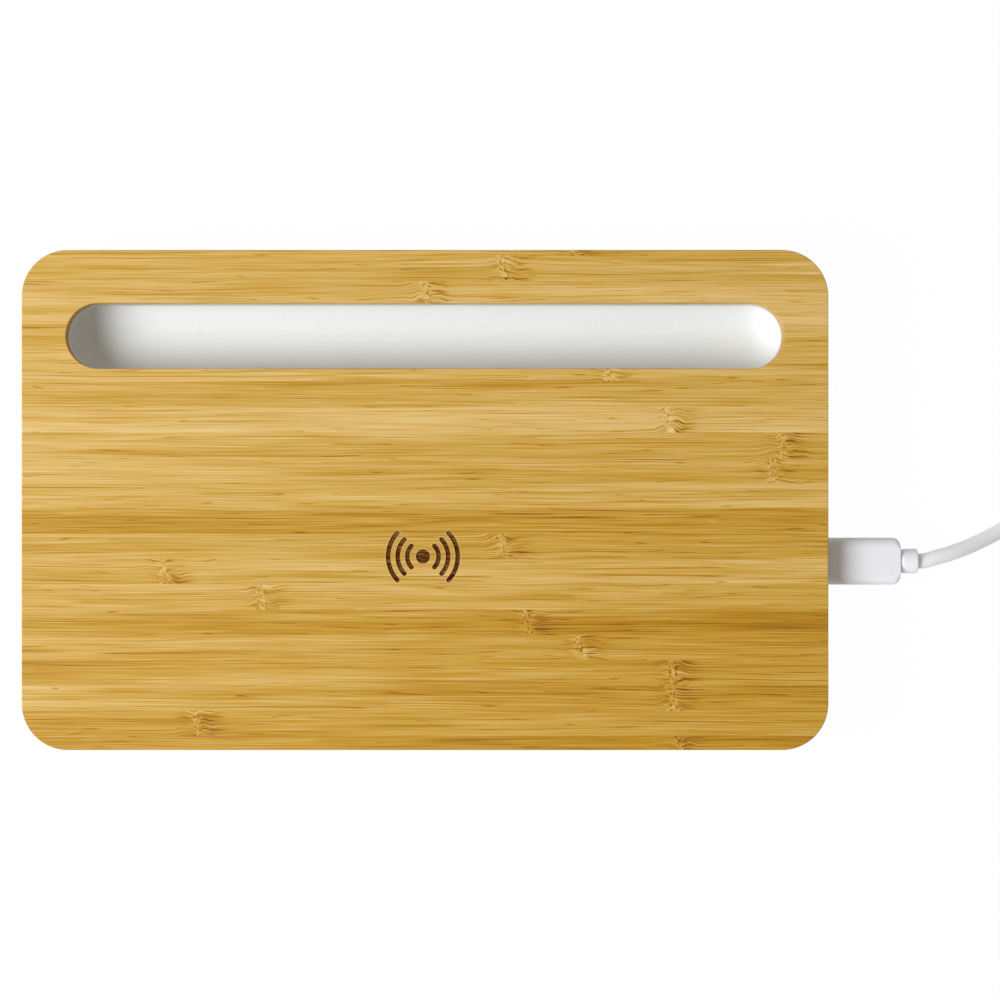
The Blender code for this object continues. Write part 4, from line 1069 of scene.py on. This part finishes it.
# %% The burn's colour
heat_rim_tone = "#deb676"
heat_rim_width = 0.5 * mm
heat_rim_share = 0.45
char_tone = "#4d2206"
char_edge = (0.1 * mm, -0.08 * mm)
# Heights between which the wood starts to count as the plate's top
top_heights = (plate_top - 2.0 * sign_depth, plate_top - 1.6 * sign_depth)
# How far behind its middle the sign starts and stops growing paler, and by how much
faded_places = (2.5 * mm, 8.0 * mm)
faded_share = 0.2
# Length, width and levels of the fibres that the laser spares, and how far it spares them
spared_rule = (4.0 * mm, 0.16 * mm, 0.5, 0.66)
spared_share = 0.36


def burnt_sign(add, place, x, y, z, colour):
    """Sockets for the colour with the sign burnt in, and for how charred it is."""
    distance, from_middle = stroke_distance(add, x, y)
    on_top = add("MapRange", z, *top_heights, interpolation_type="SMOOTHSTEP")
    heat = add("MapRange", distance, 0.0, heat_rim_width, heat_rim_share, 0.0)
    halo = add("Math", heat, on_top, operation="MULTIPLY")
    colour = add("MixRGB", halo, colour, linear(heat_rim_tone))
    spared = add("Math", separate_fibres(add, place, *spared_rule), spared_share, operation="MULTIPLY")
    faded = add("MapRange", from_middle, *faded_places, interpolation_type="SMOOTHSTEP")
    spared = add("Math", faded, faded_share, spared, operation="MULTIPLY_ADD")
    burnt = add("Math", 1.0, spared, operation="SUBTRACT", use_clamp=True)
    char = add("MapRange", distance, *char_edge, interpolation_type="SMOOTHSTEP")
    burnt = add("Math", burnt, char, operation="MULTIPLY")
    burnt = add("Math", burnt, on_top, operation="MULTIPLY")
    return add("MixRGB", burnt, colour, linear(char_tone)), burnt


# %% The bamboo material
end_grain_tone = "#9c7335"
end_grain_share = 0.35
varnish_shine = 0.24
varnish_roughness = 0.46
fibre_roughness = 0.6
fibre_groove = 0.03 * mm


def varnished_bamboo():
    """Edge-glued bamboo under satin varnish: warm straw strips, dark fibres, laser-burnt sign."""
    material, add, shader = new_material("varnished_bamboo", 0.5)
    place = add("TexCoord").outputs["Object"]
    x, y, z = add("SeparateXYZ", place).outputs
    colour, dark_lines = bamboo_colour(add, place, x, y, z)
    # The board's ends show the ends of its fibres, which look darker
    facing = add("SeparateXYZ", add("NewGeometry").outputs["Normal"]).outputs["X"]
    facing = add("Math", facing, operation="ABSOLUTE")
    end_grain = add("Math", facing, end_grain_share, operation="MULTIPLY")
    colour = add("MixRGB", end_grain, colour, linear(end_grain_tone))
    colour, burnt = burnt_sign(add, place, x, y, z, colour)

    shine = add("MapRange", burnt, 0.0, 1.0, varnish_shine, 0.0)
    rough = add("MapRange", dark_lines, 0.0, 1.0, varnish_roughness, fibre_roughness)
    relief = add("Math", dark_lines, -1.0, operation="MULTIPLY")
    lift = add("Bump", {"Height": relief, "Strength": 0.35, "Distance": fibre_groove})
    fill(shader, {"Base Color": colour, "Roughness": rough, "Specular IOR Level": shine, "Normal": lift})
    return material


bamboo = varnished_bamboo()
print("nodes in the bamboo material:", len(bamboo.node_tree.nodes))

# %% [markdown]
# ## The bamboo plate
# The plate starts as a bar with rounded corners. A cutter rounds out the slot, another the pocket
# that holds the coil, and then every sharp edge gets the quarter of a millimetre that sandpaper gives.
# The sign is carved last, because a laser leaves its edges crisp.

# %% The sign as a carving tool
def sign_tool():
    """The dot and the arcs as solids that reach from above the plate to the burn's depth."""
    low, high = plate_top - sign_depth, plate_top + overrun
    dot = turned([(0.0, low), (dot_radius, low), (dot_radius, high), (0.0, high)], 48)
    for side in (0.0, math.pi):
        for number in range(arcs_per_side):
            add_arc_band(dot, first_arc_radius + number * arc_pitch, side, low, high)
    return moved(dot, (sign_x, sign_y, 0.0))


def add_arc_band(shape, radius, side, low, high, steps=28):
    """A stroke along an arc with half round ends: an outline drawn flat and then raised."""
    half = stroke / 2
    start, end = math.degrees(side - half_angle), math.degrees(side + half_angle)
    first, last = arc((0.0, 0.0), radius, start, end, 1)
    outline = arc((0.0, 0.0), radius + half, start, end, steps)
    outline += arc(last, half, end, end + 180, 10)[1:-1]
    outline += arc((0.0, 0.0), radius - half, end, start, steps)
    outline += arc(first, half, start + 180, start + 360, 10)[1:-1]
    face = shape.faces.new([shape.verts.new((x, y, low)) for x, y in outline])
    raised = bmesh.ops.extrude_face_region(shape, geom=[face])["geom"]
    points = [item for item in raised if isinstance(item, bmesh.types.BMVert)]
    bmesh.ops.translate(shape, verts=points, vec=(0.0, 0.0, high - low))
    bmesh.ops.recalc_face_normals(shape, faces=shape.faces)


# %% The plate
def add_plate():
    shape = rounded_bar(plate_low, plate_high, 2, plate_corner_radius, 20)
    reach = Vector((slot_length / 2, slot_width / 2, 0.0))
    slot_low = Vector((0.0, slot_y, plate_low.z - overrun)) - reach
    slot_high = Vector((0.0, slot_y, plate_top + overrun)) + reach
    shape = carve(shape, rounded_bar(slot_low, slot_high, 2, slot_width / 2, 24))
    pocket_top = plate_low.z + pocket_depth
    pocket_place = [(sign_x, sign_y, 0.0)]
    shape = carve(shape, rods(pocket_radius, plate_low.z - overrun, pocket_top, pocket_place, 72))
    bevel(shape, sharp_edges(shape), plate_edge_ease, 4)
    shape = carve(shape, sign_tool())
    return add_piece("bamboo_board", shape, bamboo, "station", ["bamboo_top_plate"])


add_plate()

# %% [markdown]
# ## The white base
# The upper housing is one moulding: walls, roof, and a scooped trough that hangs under the pen slot.
# The scoop is made the way a mould maker thinks of it. The mouth is a long bar with half round ends,
# and its lower face is drawn in and pushed down step by step, first round a small foot, then along a
# wide shallow dish. The same function makes the trough's inside and, a wall thicker, its outside.

# %% A bar along the slot
rim_width = 1.0 * mm
rim_top = plate_low.z - fine_gap


def slot_bar(grow, low, high):
    """A bar with half round ends that follows the slot, grown by a margin."""
    reach = Vector((slot_length / 2 + grow, slot_width / 2 + grow, 0.0))
    middle = Vector((0.0, slot_y, 0.0))
    lift_low, lift_high = Vector((0.0, 0.0, low)), Vector((0.0, 0.0, high))
    return rounded_bar(middle - reach + lift_low, middle + reach + lift_high, 2, reach.y, 24)


# %% The trough's profile
def trough_profile(wall, foot_steps=8, dish_steps=16):
    """Pairs of inset and height, from where the upright wall ends to the flat middle."""
    steep, flat = math.sin(trough_dish_angle), math.cos(trough_dish_angle)
    dish_run = slot_width / 2 + trough_clearance - trough_flat_width / 2
    dish_radius = (dish_run - trough_foot_radius * (1 - steep)) / steep
    spring = trough_floor + trough_foot_radius * flat + dish_radius * (1 - flat)
    foot, dish = trough_foot_radius + wall, dish_radius + wall
    pairs = [(0.0, spring)]
    for step in range(1, foot_steps + 1):
        angle = math.pi / 2 + (trough_dish_angle - math.pi / 2) * step / foot_steps
        pairs.append((foot * (1 - math.sin(angle)), spring - foot * math.cos(angle)))
    inset, height = pairs[-1]
    for step in range(1, dish_steps + 1):
        angle = trough_dish_angle * (1 - step / dish_steps)
        drop = dish * (math.cos(angle) - flat)
        pairs.append((inset + dish * (steep - math.sin(angle)), height - drop))
    return pairs


print("sections of the trough:", len(trough_profile(0.0)))


# %% The scoop
def scoop(wall, top):
    """The trough's space, or its outside when a wall is given, from a height down to its floor."""
    pairs = trough_profile(wall)
    shape = slot_bar(trough_clearance + wall, pairs[0][1], top)
    floor = [face for face in shape.faces if face.normal.z < -0.9]
    for (inset_before, height_before), (inset, height) in zip(pairs, pairs[1:]):
        bmesh.ops.inset_region(
            shape,
            faces=floor,
            thickness=inset - inset_before,
            depth=height_before - height,
            use_even_offset=True,
        )
    return shape


# %% Where the screws and feet sit
def standing_places(name, count):
    """The axes of numbered nodes that stand upright, read from their boxes."""
    corners = [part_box(f"{name}_{number}") for number in range(1, count + 1)]
    return [((low.x + high.x) / 2, (low.y + high.y) / 2, 0.0) for low, high in corners]


cover_screw_places = standing_places("cover_screw", 6)
board_screw_places = standing_places("board_screw", 4)
foot_places = standing_places("rubber_foot", 4)
cover_low, cover_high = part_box("base_cover")
board_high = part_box("control_board")[1]
cover_screw_low, cover_screw_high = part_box("cover_screw_1")
board_screw_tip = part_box("board_screw_1")[1].z
foot_low, foot_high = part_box("rubber_foot_1")
socket_low, socket_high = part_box("usb_socket_shell")
cover_screw_head_radius = (cover_screw_high.x - cover_screw_low.x) / 2
cover_screw_head_height = 0.8 * mm
cover_screw_shank_radius = 1.15 * mm
board_screw_shank_radius = 1.0 * mm
foot_radius = (foot_high.x - foot_low.x) / 2
print("cover screws:", len(cover_screw_places), "board screws:", len(board_screw_places))
print(f"feet: {len(foot_places)}, {2 * foot_radius / mm:.1f} mm wide")


# %% The upper housing
housing_foot_ease = 0.6 * mm
cover_boss_radius = 3.0 * mm
board_post_radius = 2.5 * mm
lead_slot_low = Vector((23.9 * mm, -19.7 * mm, 0.0))
lead_slot_high = Vector((29.1 * mm, -12.7 * mm, 0.0))


def add_housing():
    low, high = housing_low, housing_high
    shape = rounded_bar(low, high, 2, housing_corner_radius, 20)
    bevel(shape, edges_at(shape, 2, low.z), housing_foot_ease, 4)
    bevel(shape, edges_at(shape, 2, high.z), housing_foot_ease / 2, 3)
    roof = high.z - housing_roof
    roof_middle = high.z - housing_roof / 2
    inner_low = Vector((low.x + housing_wall, low.y + housing_wall, low.z - overrun))
    inner_high = Vector((high.x - housing_wall, high.y - housing_wall, roof))
    shape = carve(shape, rounded_bar(inner_low, inner_high, 2, housing_corner_radius - housing_wall))

    boss_low = cover_high.z + seat_gap
    post_low = board_high.z + seat_gap
    shape = carve(shape, slot_bar(trough_clearance + rim_width, roof_middle, rim_top), "UNION")
    shape = carve(shape, scoop(trough_wall, high.z + fine_gap), "UNION")
    shape = carve(shape, rods(cover_boss_radius, boss_low, roof_middle, cover_screw_places), "UNION")
    shape = carve(shape, rods(board_post_radius, post_low, roof_middle, board_screw_places), "UNION")
    shape = carve(shape, scoop(0.0, rim_top + overrun))

    hole = cover_screw_shank_radius + seat_gap
    tip = cover_screw_high.z + seat_gap
    shape = carve(shape, rods(hole, boss_low - overrun, tip, cover_screw_places))
    hole = board_screw_shank_radius + seat_gap
    shape = carve(shape, rods(hole, post_low - overrun, board_screw_tip + seat_gap, board_screw_places))

    reach = Vector((0.0, seat_gap, seat_gap))
    mouth_low = Vector((high.x - housing_wall - overrun, socket_low.y, socket_low.z)) - reach
    mouth_high = Vector((high.x + overrun, socket_high.y, socket_high.z)) + reach
    shape = carve(shape, rounded_bar(mouth_low, mouth_high, 0, (mouth_high.z - mouth_low.z) / 2))
    lead_slot = rounded_bar(
        lead_slot_low + Vector((0, 0, roof - overrun)),
        lead_slot_high + Vector((0, 0, high.z + overrun)),
        2,
        housing_foot_ease,
    )
    shape = carve(shape, lead_slot)
    return add_piece("moulded_housing", shape, abs_white, "station", ["upper_housing"])


add_housing()

# %% [markdown]
# ## The underside
# The cover closes the base from below. It is a flat plate with round recesses for the feet and
# stepped holes that sink the screw heads. Feet and screws are turned shapes, made once and copied to
# each place. A screw's cross recess is carved with two tapered wedges.

# %% The cover
cover_hole_ease = 0.2 * mm


def add_cover():
    radius = housing_corner_radius - housing_wall - seat_gap
    shape = rounded_bar(cover_low, cover_high, 2, radius, 20)
    below = cover_low.z - overrun
    shape = carve(shape, rods(foot_radius + seat_gap, below, foot_high.z + seat_gap, foot_places, 64))
    head_top = cover_low.z + cover_screw_head_height + seat_gap
    shape = carve(shape, rods(cover_screw_head_radius + seat_gap, below, head_top, cover_screw_places, 48))
    hole = cover_screw_shank_radius + seat_gap
    shape = carve(shape, rods(hole, below, cover_high.z + overrun, cover_screw_places))
    lowest = set(edges_at(shape, 2, cover_low.z))
    bevel(shape, [rim for rim in sharp_edges(shape) if rim in lowest], cover_hole_ease, 2)
    return add_piece("moulded_cover", shape, abs_white, "station", ["base_cover"])


add_cover()


# %% Copies of a finished piece
def add_copies(name, shape, places, material, node_name):
    """A finished piece at each place, from one shape."""
    for number, place in enumerate(places, 1):
        copy = moved(shape.copy(), place)
        add_piece(f"{name}_{number}", copy, material, "station", [f"{node_name}_{number}"])
    shape.free()


# %% The feet
def foot_shape():
    """A disc with a rounded lower rim and a faint ring pressed into its sole."""
    rim = 0.5 * mm
    sole = foot_low.z
    ring, ring_width, ring_depth = 3.4 * mm, 0.35 * mm, 0.15 * mm
    profile = [(0.0, sole), (ring - ring_width, sole), (ring, sole + ring_depth), (ring + ring_width, sole)]
    profile += arc((foot_radius - rim, sole + rim), rim, -90, 0)
    return turned([*profile, (foot_radius, foot_high.z), (0.0, foot_high.z)], 64)


add_copies("sole", foot_shape(), foot_places, foot_rubber, "rubber_foot")


# %% The cover screws
def screw_shape(low, head_radius, head_height, shank_radius, tip):
    """A flat-headed screw that points up, with thread ridges and a cross recess in its head."""
    ridge_pitch, ridge_depth = 0.8 * mm, 0.22 * mm
    rim = head_height / 4
    profile = [(0.0, low)] + arc((head_radius - rim, low + rim), rim, -90, 0, 4)
    profile += [(head_radius, low + head_height), (shank_radius, low + head_height)]
    height = low + head_height + ridge_pitch / 2
    while height < tip - 1.5 * ridge_pitch:
        profile += [(shank_radius, height), (shank_radius - ridge_depth, height + ridge_pitch / 2)]
        height += ridge_pitch
    profile += [(shank_radius - ridge_depth, height), (shank_radius / 3, tip), (0.0, tip)]
    shape = turned(profile, 32)
    long, wide, deep = head_radius * 0.6, head_radius * 0.14, head_height * 0.7
    for reach in ((long, wide), (wide, long)):
        slot = rounded_bar((-reach[0], -reach[1], low - deep), (*reach, low + deep), 2, wide / 3, 3)
        floor = [v for v in slot.verts if v.co.z > low]
        bmesh.ops.scale(slot, verts=floor, vec=(0.7, 0.7, 1.0))
        shape = carve(shape, slot)
    return shape


add_copies(
    "cross_screw",
    screw_shape(
        cover_screw_low.z,
        cover_screw_head_radius,
        cover_screw_head_height,
        cover_screw_shank_radius,
        cover_screw_high.z,
    ),
    cover_screw_places,
    zinc_plate,
    "cover_screw",
)

# %% The socket's shell
socket_wall = 0.25 * mm
socket = flat_tube(socket_low, socket_high, 0, (socket_high.z - socket_low.z) / 2, socket_wall)
add_piece("socket_shell", socket, nickel_plate, "station", ["usb_socket_shell"])

# %% [markdown]
# ## Floor, lamp and backdrop
# The photograph is cut out on pure white, with a soft light from the left that comes a little from
# the front. One large area lamp gives that, and an even white world fills the rest, so that together
# they light a level surface at the plain level where a colour renders as it is written. The floor
# and the world look white to the camera and in reflections, but the floor keeps a part of its own
# shading, so the object's soft shadow stays.

# %% The white floor and world
floor_radius = 1500.0 * mm
floor_drop = 0.05 * mm
floor_glow = 0.98
light_level = 1.05
world_share = 0.28


def background_rays(add):
    """A socket that is one for rays that should see the plain white background."""
    paths = add("LightPath").outputs
    seen = add("Math", paths["Is Camera Ray"], paths["Is Glossy Ray"], operation="MAXIMUM")
    return add("Math", seen, paths["Is Transmission Ray"], operation="MAXIMUM")


def add_floor():
    material, add, shader = new_material("white_paper", 0.9)
    fill(shader, {"Base Color": linear("#fafafa")})
    glow = add("Emission", linear("#ffffff"), 1.0)
    share = add("Math", background_rays(add), floor_glow, operation="MULTIPLY")
    fill(material.node_tree.nodes["Material Output"], {"Surface": add("MixShader", share, shader, glow)})
    shape = bmesh.new()
    bmesh.ops.create_circle(shape, cap_ends=True, radius=floor_radius, segments=96)
    floor = mesh_object("floor", moved(shape, (0.0, 0.0, -floor_drop)))
    floor.data.materials.append(material)


def light_world():
    world = bpy.data.worlds.new("white_studio")
    world.use_nodes = True
    bpy.context.scene.world = world
    add = partial(add_node, world.node_tree)
    seen = background_rays(add)
    strength = add("MapRange", seen, 0.0, 1.0, world_share, 1.0)
    colour = add("MixRGB", seen, linear("#fffaee"), linear("#ffffff"))
    fill(world.node_tree.nodes["Background"], {"Strength": strength, "Color": colour})


add_floor()
light_world()
print(f"light from the world: {world_share / light_level:.0%} of the whole")

# %% [markdown]
# An area lamp of P watts lights a white level surface to P cos(a) / (pi d)^2, where d is its distance
# and a its angle from straight above. Turned round, that gives the power for the share of the light
# that the world leaves open. The world's light is a little warm, as bounced from a room, and the lamp
# is as much cooler, so white stays white in full light and turns warm in the shade.

# %% The key lamp
key_place = Vector((-1160.0, -320.0, 1215.0)) * mm
key_size = 1100.0 * mm


def add_key_lamp():
    lamp = bpy.data.lights.new("key", "AREA")
    lamp.shape = "DISK"
    lamp.size = key_size
    lamp.color = linear("#fafbff")[:3]
    distance = key_place.length
    share = (light_level - world_share) / lamp.color[0]
    lamp.energy = share * (math.pi * distance) ** 2 * distance / key_place.z
    made = in_scene("key", lamp)
    made.location = key_place
    made.rotation_euler = key_place.to_track_quat("Z", "Y").to_euler()
    print(f"key lamp {lamp.energy:.1f} W at {distance / mm:.0f} mm")


add_key_lamp()
